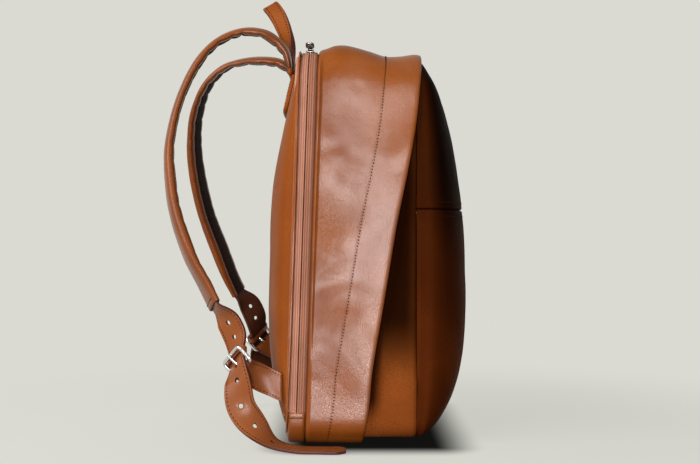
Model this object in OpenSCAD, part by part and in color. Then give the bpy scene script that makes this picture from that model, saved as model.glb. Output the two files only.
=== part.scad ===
/* [Body] */
// Width of the bag across the side walls
body_w = 300; // [280:1:320]
// Height of the wide leather frame
body_h = 415; // [400:1:430]
// Radius of the two upper corners
top_r = 38; // [32:1:44]
// Radius of the two lower corners
bottom_r = 26; // [22:1:32]
// Thickness of the main leather
leather_t = 3; // [2.6:0.1:3.2]

/* [Frame hood] */
// Free front edge of the frame at its top, along Y
hood_top_y = -75; // [-80:1:-70]
// Free front edge of the frame at its bottom, along Y
hood_bottom_y = -16; // [-20:1:-12]
// Distance of the long seam behind the free edge
hood_seam = 36; // [32:1:40]

/* [Front] */
// Seam of the front panels, along Y
front_seam_y = -70; // [-72:1:-66]
// How far the front swells past its seam
front_depth = 61; // [50:1:68]
// Height of the pocket mouth
mouth_z = 247; // [230:1:260]
// Height of the open slit of the pocket mouth
mouth_gap = 5.5; // [5:0.5:7]

/* [Zip] */
// Middle of the zip at the floor, along Y
zip_y = 56.7; // [54:0.1:60]
// Forward lean of the zip plane in degrees
zip_lean = 1.96; // [0:0.01:3]
// Width of the zip tape
zip_w = 17; // [16:0.5:19]
// Height at which the zip ends
zip_end_z = 35; // [30:1:42]
// Distance between the two parked sliders
slider_pitch = 24; // [20:1:30]

/* [Back panel] */
// How far the back swells past its seam
back_depth = 31; // [27:1:34]
// Height of the fold that the back panel opens on
fold_z = 7; // [7:0.5:9]
// Radius of the rolled hem on that fold
hem_r = 3.6; // [3:0.1:4]
// Width of the yoke patch
yoke_w = 186; // [176:1:196]
// Distance of the yoke's rolled top edge below the top of the frame
yoke_drop = 17.5; // [16:0.5:20]
// Length of the yoke patch below that edge
yoke_h = 46; // [40:1:60]

/* [Straps] */
// Width of the padded straps
pad_w = 42; // [38:1:44]
// Thickness of the padded straps
pad_t = 13; // [12:0.5:14]
// Width of the punched belts
belt_w = 30; // [28:1:31]
// Thickness of the punched belts
belt_t = 3.2; // [2.8:0.1:3.4]
// Diameter of the punched holes
hole_d = 5; // [4:0.5:6]

/* [Hardware] */
// Diameter of the buckle wire
wire_d = 4; // [3.6:0.1:4.2]
// Distance between the two long bars of a buckle
buckle_l = 20; // [19.5:0.1:21]
// Diameter of the buckle prong
prong_d = 3; // [2.6:0.1:3.1]
// Length of a zip pull
pull_l = 24; // [18:1:28]

/* [Hidden] */

tan_leather = [0.60, 0.33, 0.16];
dark_leather = [0.36, 0.19, 0.10];
lining_brown = [0.25, 0.17, 0.12];
tape_brown = [0.28, 0.16, 0.11];
nickel = [0.72, 0.71, 0.68];
foam_grey = [0.35, 0.34, 0.33];

$fn = 64;
gap = 0.3;
far = 600;

// Plies under the frame leather
facing_t = 1.8;
binding_t = 1.2;
binding_l = 8;
gusset_inset = leather_t + facing_t + binding_t;
gusset_t = 2.5;
panel_t = 2.5;
wall_t = 2;
board_t = 2.2;
lining_t = 0.8;
lining_inset = gusset_inset + gusset_t + 0.5;
board_z = gusset_inset + gusset_t + gap;
zip_front_y = zip_y - zip_w / 2;
fold_y = zip_y + zip_w / 2 + 0.7;

// Zip section, measured from the outline inwards and from the zip's middle outwards
tape_inset = 1;
tape_t = 1;
coil_t = 1.6;
coil_w = 1.8;
zip_slit = 1;
edge = zip_w / 2;

// Swell of the two height-field panels: height of the fullest row and the four curve powers
front_swell = [gusset_inset, body_h - gusset_inset, 155, front_depth, 2.5, 0.4, 2, 0.5, 2.4];
back_swell = [fold_z + hem_r + gap, body_h, 215, back_depth, 4, 0.9, 1.6, 0.8, 2.6];
foam_t = 5;
yoke_t = 3;
yoke_roll_r = 4.5;

// Slider, measured in the zip plane
slider_l = 12;
slider_w = 9;
plate_t = 1.5;
bail_r = 0.9;
bail_rise = 2.4;
eye_w = 4.4;
pull_t = 1.6;
pull_tilt = 8;
corner_x = body_w / 2 - top_r;
plate_z = body_h - tape_inset + 0.4;
bail_z = plate_z + plate_t + bail_rise;

// Handle loop, half of it: centre measured from the middle of its hinge line, and width direction
yoke_z = body_h - yoke_drop;
handle_w = 18;
handle_t = 4;
handle_x = 24;
handle_axis = [66, yoke_z + 7];
handle_half = [
  [[-handle_x, 0, 0], [1, 0, 0]], [[-handle_x - 0.5, 2, 20.5], [1, 0.15, 0]],
  [[-handle_x, 7, 43.5], [0.7, 0.75, -0.3]], [[-18, 16, 65.5], [0.25, 0.95, -0.5]],
  [[-8, 24, 77.5], [0, 0.86, -0.5]], [[0, 26.5, 79.5], [0, 0.86, -0.5]]
];

// Strap roots on the yoke, and the sewn edge of each anchor strap on the side of the back panel
root_x = 62;
root_y = 67;
root_z = yoke_z + 5;
seat = [-149.8, 71.6, 62];
sewn_dir = [0, 0, -1];
swing = (seat - [-root_x, root_y, root_z]) / norm(seat - [-root_x, root_y, root_z]);

// Padded straps as drawn for one root height: centre, width direction, width and thickness
drawn_root_z = 402.5;
pad_end_z = 146;
left_pad = [
  [[-root_x, root_y, drawn_root_z], [1, 0, 0], [28, 5]], [[-62, 71, 420], [1, 0, 0], [32, 8]],
  [[-62, 82, 434], [1, 0, 0], [36, 11]], [[-64, 98, 443], [1, 0, 0], [pad_w, pad_t]],
  [[-67, 122, 443], [1, 0, 0], [pad_w, pad_t]], [[-73, 149, 429], [1, 0, 0], [pad_w, pad_t]],
  [[-80, 170, 402], [1, 0, 0], [pad_w, pad_t]], [[-88, 187, 361], [1, 0.04, 0], [pad_w, pad_t]],
  [[-97, 195, 317], [1, 0.08, 0], [pad_w, pad_t]], [[-105, 193, 279], [1, 0.14, 0], [pad_w, pad_t]],
  [[-112, 186, 241], [1, 0.22, 0], [pad_w, pad_t]], [[-122, 170, 198], [1, 0.3, 0], [pad_w, pad_t]],
  [[-130, 153, 167], [1, 0.4, 0], [38, 10.5]], [[-136, 142, pad_end_z], [1, 0.46, 0], [35, 8.4]]
];
right_pad = [
  [[root_x, root_y, drawn_root_z], [1, 0, 0], [28, 5]], [[62, 72, 417], [1, 0, 0], [32, 8]],
  [[62, 86, 427], [1, 0, 0], [36, 11]], [[62, 109, 430], [1, 0, 0], [pad_w, pad_t]],
  [[64, 133, 428], [1, 0, 0], [pad_w, pad_t]], [[68, 155, 420], [1, 0, 0], [pad_w, pad_t]],
  [[75, 177, 399], [1, 0, 0], [pad_w, pad_t]], [[85, 191, 367], [1, -0.04, 0], [pad_w, pad_t]],
  [[95, 196, 330], [1, -0.08, 0], [pad_w, pad_t]], [[105, 193, 290], [1, -0.14, 0], [pad_w, pad_t]],
  [[115, 182, 244], [1, -0.22, 0], [pad_w, pad_t]], [[126, 162, 193], [1, -0.34, 0], [pad_w, pad_t]],
  [[131, 152, 167], [1, -0.4, 0], [38, 10.5]], [[136, 142, pad_end_z], [1, -0.46, 0], [35, 8.4]]
];
cover_t = 1.8;
pad_steps = 2;
first_hollow = 4;
belt_overlap = 3;

// Buckle frame of axes: along the bars, from the front bar to the heel bar, and outwards
buckle_at = [-150, 117, 88];
bar_dir = unit([0.655, 0.49, -0.574]);
short_dir = square_to([-0.14, -0.67, -0.73], bar_dir);
out_dir = cross(bar_dir, short_dir);
belt_down = unit(short_dir + out_dir);
bar_half = belt_w / 2 + 3;
wire_r = wire_d / 2;
heel_at = buckle_at + short_dir * buckle_l / 2;
bore_r = wire_r + 0.08;
fold_r = wire_r + 2.5;
eye_r = wire_r + 1.5;
prong_rise = wire_r + prong_d / 2 + 0.1;
prong_fit = 0.05;
prong_slot = 9.6;
prong_slot_shift = 3.3;
prong_window = [6.4, 17];
anchor_t = 4.2;
swing_pin_l = 5;

// Left belt from inside the pad, through the buckle, to the tail on the floor
tail_z = belt_t / 2 + 0.1;
belt_neck = belt_w - 8;
left_belt_path = [
  [[-133.4, 147, pad_end_z + 10], [1, 0.44, 0], belt_neck], [[-136, 142, pad_end_z], [1, 0.46, 0], belt_neck],
  [[-138, 131.5, 130], [0.85, 0.5, -0.1], belt_w], [buckle_at - belt_down * 22, bar_dir, belt_w],
  [buckle_at, bar_dir, belt_w], [buckle_at + belt_down * 23, bar_dir, belt_w],
  [[-168, 111.5, 45], [0, 1, -0.2], belt_w], [[-171, 97, 25], [-0.4, 0.8, 0], belt_w],
  [[-175, 79, 8.5], [-0.9, 0.4, 0], belt_w], [[-179, 54, tail_z + 0.6], [-1, 0.2, 0], belt_w],
  [[-181, 30, tail_z], [-1, 0.1, 0], belt_w], [[-182, 12, tail_z], [-1, 0, 0], belt_w],
  [[-182, 4, tail_z], [-1, 0, 0], belt_w * 0.45]
];
hole_stations = [2, 3, 5, 6, 7, 8];

function unit(v) = v / norm(v);
function square_to(v, t) = unit(v - t * (v * t));
function pick(s, i) = [for (k = [0:2]) s[i][k]];

// Smooth curve through control rows, with the same number of steps between each pair
function curve(p, i, t) =
  let (a = p[max(i - 1, 0)], b = p[i], c = p[i + 1], d = p[min(i + 2, len(p) - 1)])
  0.5 * (2 * b + (c - a) * t + (2 * a - 5 * b + 4 * c - d) * t * t + (3 * b - a - 3 * c + d) * t * t * t);
function smooth(p, steps) =
  concat([for (i = [0:len(p) - 2]) for (k = [0:steps - 1]) curve(p, i, k / steps)], [p[len(p) - 1]]);
function tangent(s, i) = unit(pick(s, min(i + 1, len(s) - 1)) - pick(s, max(i - 1, 0)));
function across(s, i) = square_to([s[i][3], s[i][4], s[i][5]], tangent(s, i));
function facing(s, i) = cross(across(s, i), tangent(s, i));
function strap_ring(s, i, profile, less) = [
  for (q = profile)
    pick(s, i) + across(s, i) * q[0] * (s[i][6] / 2 - less) + facing(s, i) * q[1] * (s[i][7] / 2 - less)
];
// Ring of a strap whose ends are cut at an angle
function skew_ring(s, i, profile) = [
  for (q = profile) let (w = unit([s[i][3], s[i][4], s[i][5]]))
    pick(s, i) + w * q[0] * s[i][6] / 2 + unit(cross(w, tangent(s, i))) * q[1] * s[i][7] / 2
];
soft_profile = [
  for (a = [0:30:330])
    [sign(cos(a)) * pow(abs(cos(a)), 0.6), sign(sin(a)) * pow(abs(sin(a)), 0.8)]
];
flat_profile = [[1, 1], [-1, 1], [-1, -1], [1, -1]];

// Closed solid through equal rings
module loft(rings) {
  n = len(rings[0]);
  m = len(rings);
  polyhedron(
    points = [for (r = rings) for (p = r) p],
    faces = concat(
      [[for (k = [n - 1:-1:0]) k]],
      [[for (k = [0:n - 1]) (m - 1) * n + k]],
      [for (j = [0:m - 2]) for (k = [0:n - 1]) [j * n + k, j * n + (k + 1) % n, (j + 1) * n + k]],
      [for (j = [0:m - 2]) for (k = [0:n - 1])
        [j * n + (k + 1) % n, (j + 1) * n + (k + 1) % n, (j + 1) * n + k]]
    )
  );
}

// Outline of the bag seen along Y, moved in by a distance on every side
module outline(inset, low = 0) {
  half = body_w / 2 - inset;
  r_top = top_r - inset;
  r_low = bottom_r - inset;
  bottom = max(inset, low);
  top = body_h - inset;
  translate([-half, bottom + r_low]) square([2 * half, top - r_top - bottom - r_low]);
  translate([-half + r_low, bottom]) square([2 * (half - r_low), r_low + 1]);
  translate([-half + r_top, top - r_top - 1]) square([2 * (half - r_top), r_top + 1]);
  for (side = [-1, 1]) {
    translate([side * (half - r_low), bottom + r_low]) circle(r_low);
    translate([side * (half - r_top), top - r_top]) circle(r_top);
  }
}

// Ring of the outline between two depths along Y
module ring(y0, y1, inset, wall, low = 0) {
  translate([0, y1, 0]) rotate([90, 0, 0]) linear_extrude(y1 - y0) difference() {
    outline(inset, low);
    outline(inset + wall, low + wall);
  }
}

// Block with a side profile given as [y, z] corners
module side_block(points) {
  rotate([90, 0, 90]) linear_extrude(far, center = true) polygon(points);
}

// Everything between the hood's slanted planes, measured back from its free edge, and a fixed depth
module behind_hood(back, rear_y) {
  side_block([
    [hood_bottom_y + back, 0], [hood_top_y + back, body_h], [hood_top_y + back, body_h + 1],
    [rear_y, body_h + 1], [rear_y, -1], [hood_bottom_y + back, -1]
  ]);
}

// Frame of the zip plane, which leans forward
module in_zip_plane() {
  translate([0, zip_y, 0]) rotate([zip_lean, 0, 0]) children();
}

// Ring in the zip plane, above the ends of the zip
module zip_ring(y0, y1, inset, wall) {
  in_zip_plane() intersection() {
    ring(y0, y1, inset, wall);
    translate([-far / 2, -far / 2, zip_end_z + gap]) cube([far, far, far]);
  }
}

// Half width of a panel outline at a height, with an inset
function half_width(z, s, inset) =
  let (lo = s[0] + inset, hi = s[1] - inset, half = s[9] - inset,
       rl = s[10] - inset / 2, rt = s[11] - inset / 2)
  z < lo + rl ? half - rl + sqrt(max(0, rl * rl - pow(lo + rl - z, 2)))
  : z > hi - rt ? half - rt + sqrt(max(0, rt * rt - pow(z - hi + rt, 2))) : half;
// Swell at the middle of a row
function swell(z, s, inset) =
  let (lo = s[0] + inset, hi = s[1] - inset,
       r = z < s[2] ? min(1, (s[2] - z) / (s[2] - lo)) : min(1, (z - s[2]) / (hi - s[2])))
  (s[3] - inset) * (z < s[2] ? pow(1 - pow(r, s[4]), s[5]) : pow(1 - pow(r, s[6]), s[7]));
function lift(k, s) = pow(max(0, 1 - pow(abs(k), s[8])), 1 / s[8]);
// Point of a swollen panel: row height, place across from -1 to 1
function panel_point(z, k, s, inset, sign_y) =
  [k * half_width(z, s, inset), sign_y * swell(z, s, inset) * lift(k, s), z];

// Shell of a swollen panel between two heights, with closed ends where it meets its seam
module swollen_panel(s, za, zb, inset, wall, sign_y, rows, columns) {
  low_in = za <= s[0] + inset ? wall : 0;
  high_in = zb >= s[1] - inset ? wall : 0;
  spread = function (a, b, j) a + (b - a) * (1 - cos(180 * j / rows)) / 2;
  across_at = function (i) sin(90 * (2 * i / columns - 1));
  n = columns + 1;
  count = (rows + 1) * n;
  outer = [for (j = [0:rows]) for (i = [0:columns])
    panel_point(spread(za, zb, j), across_at(i), s, inset, sign_y)];
  inner = [for (j = [0:rows]) for (i = [0:columns])
    panel_point(spread(za + low_in, zb - high_in, j), across_at(i), s, inset + wall, sign_y)];
  quads = [for (j = [0:rows - 1]) for (i = [0:columns - 1])
    [j * n + i, j * n + i + 1, (j + 1) * n + i + 1, (j + 1) * n + i]];
  edge_loop = concat(
    [for (i = [0:columns - 1]) i], [for (j = [0:rows - 1]) j * n + columns],
    [for (i = [columns:-1:1]) rows * n + i], [for (j = [rows:-1:1]) j * n]
  );
  e = len(edge_loop);
  skin = [for (q = quads) for (f = [[q[0], q[1], q[2]], [q[0], q[2], q[3]]]) f];
  back_skin = [for (f = skin) [f[2] + count, f[1] + count, f[0] + count]];
  rim = [for (k = [0:e - 1]) let (a = edge_loop[k], b = edge_loop[(k + 1) % e])
    for (f = [[b, a, a + count], [b, a + count, b + count]]) f];
  all_faces = concat(skin, back_skin, rim);
  faces = sign_y > 0 ? all_faces : [for (f = all_faces) [f[2], f[1], f[0]]];
  polyhedron(points = concat(outer, inner), faces = faces);
}
front_shape = concat(front_swell, [body_w / 2, bottom_r, top_r] - gusset_inset * [1, 1, 1]);
back_shape = concat(back_swell, [body_w / 2, bottom_r, top_r]);

module frame_band() {
  color(tan_leather) intersection() {
    ring(hood_top_y - 1, zip_y + edge, 0, leather_t);
    behind_hood(0, far);
    in_zip_plane() translate([-far / 2, -far - edge, -far / 2]) cube([far, far, 2 * far]);
  }
}

module frame_facing() {
  color(dark_leather) intersection() {
    ring(hood_top_y - 1, zip_front_y, leather_t, facing_t);
    behind_hood(0.5, far);
    mirror_behind(hood_seam + binding_l);
  }
}

// Everything in front of a plane parallel to the hood's free edge
module mirror_behind(back) {
  side_block([
    [hood_bottom_y + back, 0], [hood_top_y + back, body_h], [hood_top_y + back, body_h + 1],
    [-far / 2, body_h + 1], [-far / 2, -1], [hood_bottom_y + back, -1]
  ]);
}

module hood_binding() {
  color(dark_leather) intersection() {
    ring(hood_top_y - 1, zip_front_y, leather_t + facing_t, binding_t);
    behind_hood(hood_seam, far);
    mirror_behind(hood_seam + binding_l);
  }
}

module front_gusset() {
  color(dark_leather) intersection() {
    ring(front_seam_y, zip_front_y, gusset_inset, gusset_t);
    mirror_behind(hood_seam + binding_l);
  }
}

module divider_wall() {
  color(lining_brown) translate([0, front_seam_y + 1.5 + wall_t, 0])
    rotate([90, 0, 0]) linear_extrude(wall_t) outline(gusset_inset + gusset_t + 0.2);
}

module front_upper_panel() {
  color(dark_leather) translate([0, front_seam_y - 0.05, 0])
    swollen_panel(front_shape, mouth_z + mouth_gap / 2, front_shape[1], 0, panel_t, -1, 12, 16);
}

module front_pocket_panel() {
  color(dark_leather) translate([0, front_seam_y - 0.05, 0])
    swollen_panel(front_shape, front_shape[0], mouth_z - mouth_gap / 2, 0, panel_t, -1, 14, 16);
}

module base_board() {
  width = body_w - 2 * (bottom_r + gusset_t);
  color(lining_brown) translate([-width / 2, front_seam_y + 4.5, board_z])
    cube([width, zip_front_y - front_seam_y - 6, board_t]);
}

module main_lining() {
  low = board_z + board_t + gap;
  color(lining_brown) ring(front_seam_y + 4.5, zip_front_y - 16, lining_inset, lining_t, low);
}

module heel_strip() {
  color(tan_leather) intersection() {
    ring(zip_front_y - 5, zip_y + zip_w, 0, leather_t);
    translate([-far / 2, 0, -1]) cube([far, far, zip_end_z + 1]);
    in_zip_plane() translate([-far / 2, gap - edge, -far / 2]) cube([far, zip_w - 2 * gap, 2 * far]);
  }
}

module zip_tape_front() {
  color(tape_brown) zip_ring(gap - edge, -zip_slit, tape_inset, tape_t);
}

module zip_coil_front() {
  color(tape_brown) zip_ring(-zip_slit - coil_w, -zip_slit, tape_inset + tape_t, coil_t);
}

module zip_tape_rear() {
  color(tape_brown) zip_ring(zip_slit, edge - gap, tape_inset, tape_t);
}

module zip_coil_rear() {
  color(tape_brown) zip_ring(zip_slit, zip_slit + coil_w, tape_inset + tape_t, coil_t);
}

module back_panel() {
  color(tan_leather) in_zip_plane() translate([0, edge, 0])
    swollen_panel(back_shape, back_shape[0], back_shape[1], 0, panel_t, 1, 17, 17);
}

module back_foam() {
  inset = panel_t + 1;
  color(foam_grey) in_zip_plane() translate([0, edge, 0])
    swollen_panel(back_shape, back_shape[0] + inset, back_shape[1] - inset, inset, foam_t, 1, 17, 17);
}

module back_lining() {
  inset = panel_t + foam_t + 2;
  color(lining_brown) in_zip_plane() translate([0, edge, 0])
    swollen_panel(back_shape, back_shape[0] + inset, back_shape[1] - inset, inset, lining_t, 1, 17, 15);
}

module back_hem_roll() {
  length = body_w - 2 * bottom_r;
  color(tan_leather) translate([-length / 2, fold_y, fold_z])
    rotate([0, 90, 0]) cylinder(h = length, r = hem_r);
}

// Leather patch that lies on the back panel
module yoke_patch() {
  rows = 6;
  columns = 12;
  low = yoke_z - yoke_h;
  high = yoke_z - yoke_roll_r - gap;
  at = function (i, j, off) let (x = yoke_w * (i / columns - 0.5), z = low + (high - low) * j / rows)
    [x, swell(z, back_shape, 0) * lift(x / half_width(z, back_shape, 0), back_shape) + off, z];
  color(tan_leather) in_zip_plane() translate([0, edge, 0]) loft([
    for (j = [0:rows]) concat(
      [for (i = [0:columns]) at(i, j, gap + yoke_t)], [for (i = [columns:-1:0]) at(i, j, gap)])
  ]);
}

// Rolled top edge of the yoke, which takes the straps and the handle
module yoke_binding() {
  color(tan_leather) translate([-yoke_w / 2, root_y - 2, yoke_z])
    rotate([0, 90, 0]) cylinder(h = yoke_w, r = yoke_roll_r);
}

module carry_handle() {
  other = [for (k = [len(handle_half) - 2:-1:0]) let (h = handle_half[k])
    [[-h[0][0], h[0][1], h[0][2]], [-h[1][0], h[1][1], h[1][2]]]];
  turned = concat(handle_half, other);
  hinge = [0, handle_axis[0], handle_axis[1]];
  s = smooth([for (h = turned) concat(h[0] + hinge, h[1], [handle_w, handle_t])], 3);
  color(tan_leather) union() {
    loft([for (i = [0:len(s) - 1]) strap_ring(s, i, flat_profile, 0)]);
    for (side = [-1, 1])
      translate([side * handle_x - handle_w / 2, handle_axis[0], handle_axis[1]])
        rotate([0, 90, 0]) cylinder(h = handle_w, r = handle_t / 2);
  }
}

// Slider at a place along the top run of the zip
module slider(x) {
  color(nickel) in_zip_plane() translate([x, 0, 0]) {
    translate([-slider_l / 2, -slider_w / 2, plate_z]) cube([slider_l, slider_w, plate_t]);
    translate([-slider_l / 2, -slider_w / 2, plate_z - 5.4]) cube([slider_l, slider_w, 1.4]);
    translate([-2.5, -0.6, plate_z - 5]) cube([5, 1.2, 6]);
    for (side = [-1, 1])
      translate([-bail_r, side * 3 - 0.6, plate_z + plate_t - 0.5])
        cube([2 * bail_r, 1.2, bail_rise + bail_r + 0.5]);
    translate([0, 3.2, bail_z]) rotate([90, 0, 0]) cylinder(h = 6.4, r = bail_r);
  }
}

// Pull on the bail of a slider, pointing along X by its sign
module zip_pull(x, way) {
  color(nickel) in_zip_plane() translate([x, 0, bail_z]) rotate([0, -way * pull_tilt, 0]) difference() {
    union() {
      translate([0, eye_w / 2, 0]) rotate([90, 0, 0]) cylinder(h = eye_w, r = 1.9);
      translate([way > 0 ? 0 : -6, -eye_w / 2, -pull_t / 2]) cube([6, eye_w, pull_t]);
      translate([way > 0 ? 5 : -pull_l, -slider_w / 2, -pull_t / 2]) cube([pull_l - 5, slider_w, pull_t]);
    }
    translate([0, eye_w, 0]) rotate([90, 0, 0]) cylinder(h = 2 * eye_w, r = bail_r + 0.1);
  }
}

module left_slider() { slider(-corner_x); }
module right_slider() { slider(-corner_x + slider_pitch); }
module left_zip_pull() { zip_pull(-corner_x, -1); }
module right_zip_pull() { zip_pull(-corner_x + slider_pitch, 1); }

// Control rows of a pad, with their upper part moved along when the root moves
function pad_rows(pad) = [
  for (p = pad) let (share = (p[0][2] - pad_end_z) / (drawn_root_z - pad_end_z))
    concat(p[0] + [0, 0, (root_z - drawn_root_z) * min(1, share)], p[1], p[2])
];

// Hollow leather sleeve of a padded strap, closed at the root and open at the belt's end
module strap_cover(pad) {
  s = smooth(pad_rows(pad), pad_steps);
  last = len(s) - 1;
  color(tan_leather) difference() {
    loft([for (i = [0:last]) strap_ring(s, i, soft_profile, 0)]);
    loft(concat(
      [for (i = [first_hollow:last]) strap_ring(s, i, soft_profile, cover_t)],
      [[for (p = strap_ring(s, last, soft_profile, cover_t)) p + tangent(s, last) * 2]]
    ));
  }
}

module strap_foam(pad) {
  s = smooth(pad_rows(pad), pad_steps);
  color(foam_grey) loft([
    for (i = [first_hollow + 1:len(s) - 1 - belt_overlap]) strap_ring(s, i, soft_profile, cover_t + 0.4)
  ]);
}

// Punched belt of the left strap
module belt() {
  s = smooth([for (p = left_belt_path) concat(p[0], p[1], [p[2], belt_t])], 3);
  color(tan_leather) difference() {
    loft([for (i = [0:len(s) - 1]) strap_ring(s, i, flat_profile, 0)]);
    for (k = hole_stations)
      place(pick(s, 3 * k), across(s, 3 * k), tangent(s, 3 * k))
        cylinder(h = 4 * belt_t, d = hole_d, center = true);
    place(buckle_at + belt_down * prong_slot_shift, bar_dir, belt_down)
      slot(prong_slot, prong_d + 1, 6 * belt_t);
  }
}

// Round-ended slot that runs along its local Y
module slot(length, width, height) {
  for (side = [-1, 1])
    translate([0, side * (length - width) / 2, 0]) cylinder(h = height, d = width, center = true);
  cube([width, length - width, height], center = true);
}

// Moves its children to a place whose local X and Y follow two directions
module place(at, x_dir, y_dir) {
  z_dir = cross(x_dir, y_dir);
  multmatrix([
    [x_dir[0], y_dir[0], z_dir[0], at[0]], [x_dir[1], y_dir[1], z_dir[1], at[1]],
    [x_dir[2], y_dir[2], z_dir[2], at[2]], [0, 0, 0, 1]
  ]) children();
}

module in_buckle() {
  place(buckle_at, bar_dir, short_dir) children();
}

module rod(length, r) {
  rotate([0, 90, 0]) cylinder(h = length, r = r, center = true);
}

// Strap sewn to the side of the back panel and folded round the heel bar
module anchor_strap() {
  s = smooth([
    concat(heel_at, bar_dir, [belt_w, anchor_t]),
    concat((heel_at * 2 + seat) / 3, unit(bar_dir * 0.7 + sewn_dir * 0.3), [belt_w, anchor_t]),
    concat((heel_at + seat * 2) / 3, unit(bar_dir * 0.3 + sewn_dir * 0.7), [belt_w, anchor_t]),
    concat(seat, sewn_dir, [belt_w, anchor_t])
  ], 3);
  color(tan_leather) difference() {
    union() {
      loft([for (i = [0:len(s) - 1]) skew_ring(s, i, flat_profile)]);
      place(heel_at, bar_dir, short_dir) rod(belt_w, fold_r);
      place(seat, sewn_dir, square_to([0, 1, 0], sewn_dir)) rod(belt_w, anchor_t / 2);
      place(seat, swing, square_to([0, 1, 0], swing)) rod(swing_pin_l, anchor_t / 2);
    }
    place(heel_at, bar_dir, short_dir) {
      rod(2 * belt_w, bore_r);
      translate([-prong_window[0] / 2, 7 - prong_window[1], -prong_window[1] / 2])
        cube([prong_window[0], prong_window[1], prong_window[1]]);
    }
  }
}

// Rectangular wire buckle
module buckle_frame() {
  color(nickel) in_buckle() {
    for (side = [-1, 1]) {
      translate([0, side * buckle_l / 2, 0]) rod(2 * bar_half, wire_r);
      translate([side * bar_half, 0, 0]) rotate([90, 0, 0]) cylinder(h = buckle_l, r = wire_r, center = true);
      for (end = [-1, 1]) translate([side * bar_half, end * buckle_l / 2, 0]) sphere(wire_r);
    }
  }
}

// Prong with an eye on the heel bar and its tip over the front bar
module buckle_prong() {
  reach = buckle_l + 2.5;
  lean = atan(prong_rise / buckle_l);
  color(nickel) in_buckle() translate([0, buckle_l / 2, 0]) difference() {
    union() {
      rod(4.6, eye_r);
      rotate([90 - lean, 0, 0]) cylinder(h = reach, d = prong_d);
      rotate([90 - lean, 0, 0]) translate([0, 0, reach]) sphere(d = prong_d);
    }
    rod(2 * bar_half, wire_r + prong_fit);
  }
}

module on_right() {
  mirror([1, 0, 0]) children();
}

frame_band();
frame_facing();
hood_binding();
front_gusset();
divider_wall();
front_upper_panel();
front_pocket_panel();
base_board();
main_lining();
heel_strip();
zip_tape_front();
zip_coil_front();
back_panel();
back_foam();
back_lining();
back_hem_roll();
zip_tape_rear();
zip_coil_rear();
yoke_patch();
yoke_binding();
carry_handle();
left_slider();
left_zip_pull();
right_slider();
right_zip_pull();
strap_cover(left_pad);  // left_strap_cover
strap_foam(left_pad);  // left_strap_foam
belt();  // left_belt
anchor_strap();  // left_anchor_strap
buckle_frame();  // left_buckle_frame
buckle_prong();  // left_buckle_prong
strap_cover(right_pad);  // right_strap_cover
strap_foam(right_pad);  // right_strap_foam
on_right() belt();  // right_belt
on_right() anchor_strap();  // right_anchor_strap
on_right() buckle_frame();  // right_buckle_frame
on_right() buckle_prong();  // right_buckle_prong
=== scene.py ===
import bisect
import math

import bmesh
import bpy
from mathutils import Matrix, Vector, noise


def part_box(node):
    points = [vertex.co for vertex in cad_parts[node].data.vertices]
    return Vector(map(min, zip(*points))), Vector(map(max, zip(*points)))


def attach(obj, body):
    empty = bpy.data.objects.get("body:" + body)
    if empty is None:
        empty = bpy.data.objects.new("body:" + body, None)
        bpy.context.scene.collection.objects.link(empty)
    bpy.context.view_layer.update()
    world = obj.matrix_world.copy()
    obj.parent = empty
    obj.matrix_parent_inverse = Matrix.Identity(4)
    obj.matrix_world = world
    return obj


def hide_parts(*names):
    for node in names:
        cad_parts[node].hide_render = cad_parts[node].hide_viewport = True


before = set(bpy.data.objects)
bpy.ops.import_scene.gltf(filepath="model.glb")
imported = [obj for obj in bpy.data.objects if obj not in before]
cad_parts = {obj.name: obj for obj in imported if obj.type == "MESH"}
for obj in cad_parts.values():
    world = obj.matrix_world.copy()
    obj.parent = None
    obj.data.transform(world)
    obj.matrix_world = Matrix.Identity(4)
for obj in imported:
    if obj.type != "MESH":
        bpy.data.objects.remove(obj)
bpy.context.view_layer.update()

scene = bpy.context.scene
print("frame loaded:", len(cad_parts), "solids")

# measures are in millimetres here and become metres when a piece is made


def clamp(x, low=0.0, high=1.0):
    return max(low, min(high, x))


def ease(low, high, x):
    t = clamp((x - low) / (high - low))
    return t * t * (3 - 2 * t)


def dip(x, width):  # soft bell of height 1
    return math.exp(-((x / width) ** 2))


def through(points, x):  # smooth curve through a few (x, y) pairs
    if x <= points[0][0]:
        return points[0][1]
    if x >= points[-1][0]:
        return points[-1][1]
    i = max(k for k in range(len(points) - 1) if points[k][0] <= x)
    (x0, y0), (x1, y1) = points[i], points[i + 1]
    span = x1 - x0

    def slope(k):
        a, b = points[max(k - 1, 0)], points[min(k + 1, len(points) - 1)]
        return (b[1] - a[1]) / (b[0] - a[0])

    t = (x - x0) / span
    h = t * t * (3 - 2 * t)
    bend0, bend1 = t * (1 - t) ** 2, t * t * (t - 1)
    return y0 * (1 - h) + y1 * h + span * (bend0 * slope(i) + bend1 * slope(i + 1))


def ripple(p, wave, seed):  # smooth noise of about -1 to 1
    return noise.noise(Vector((p[0] / wave + seed, p[1] / wave - seed, p[2] / wave + 2 * seed)))


def waves(p, rows):  # ripples added up, each with its height, wavelength and seed
    return sum(height * ripple(p, wave, seed) for height, wave, seed in rows)


# the bag's outline seen from the front, walked from the middle of the floor towards -X
outline = {"halfWidth": 150, "height": 415, "topRadius": 38, "lowRadius": 26}


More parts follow.
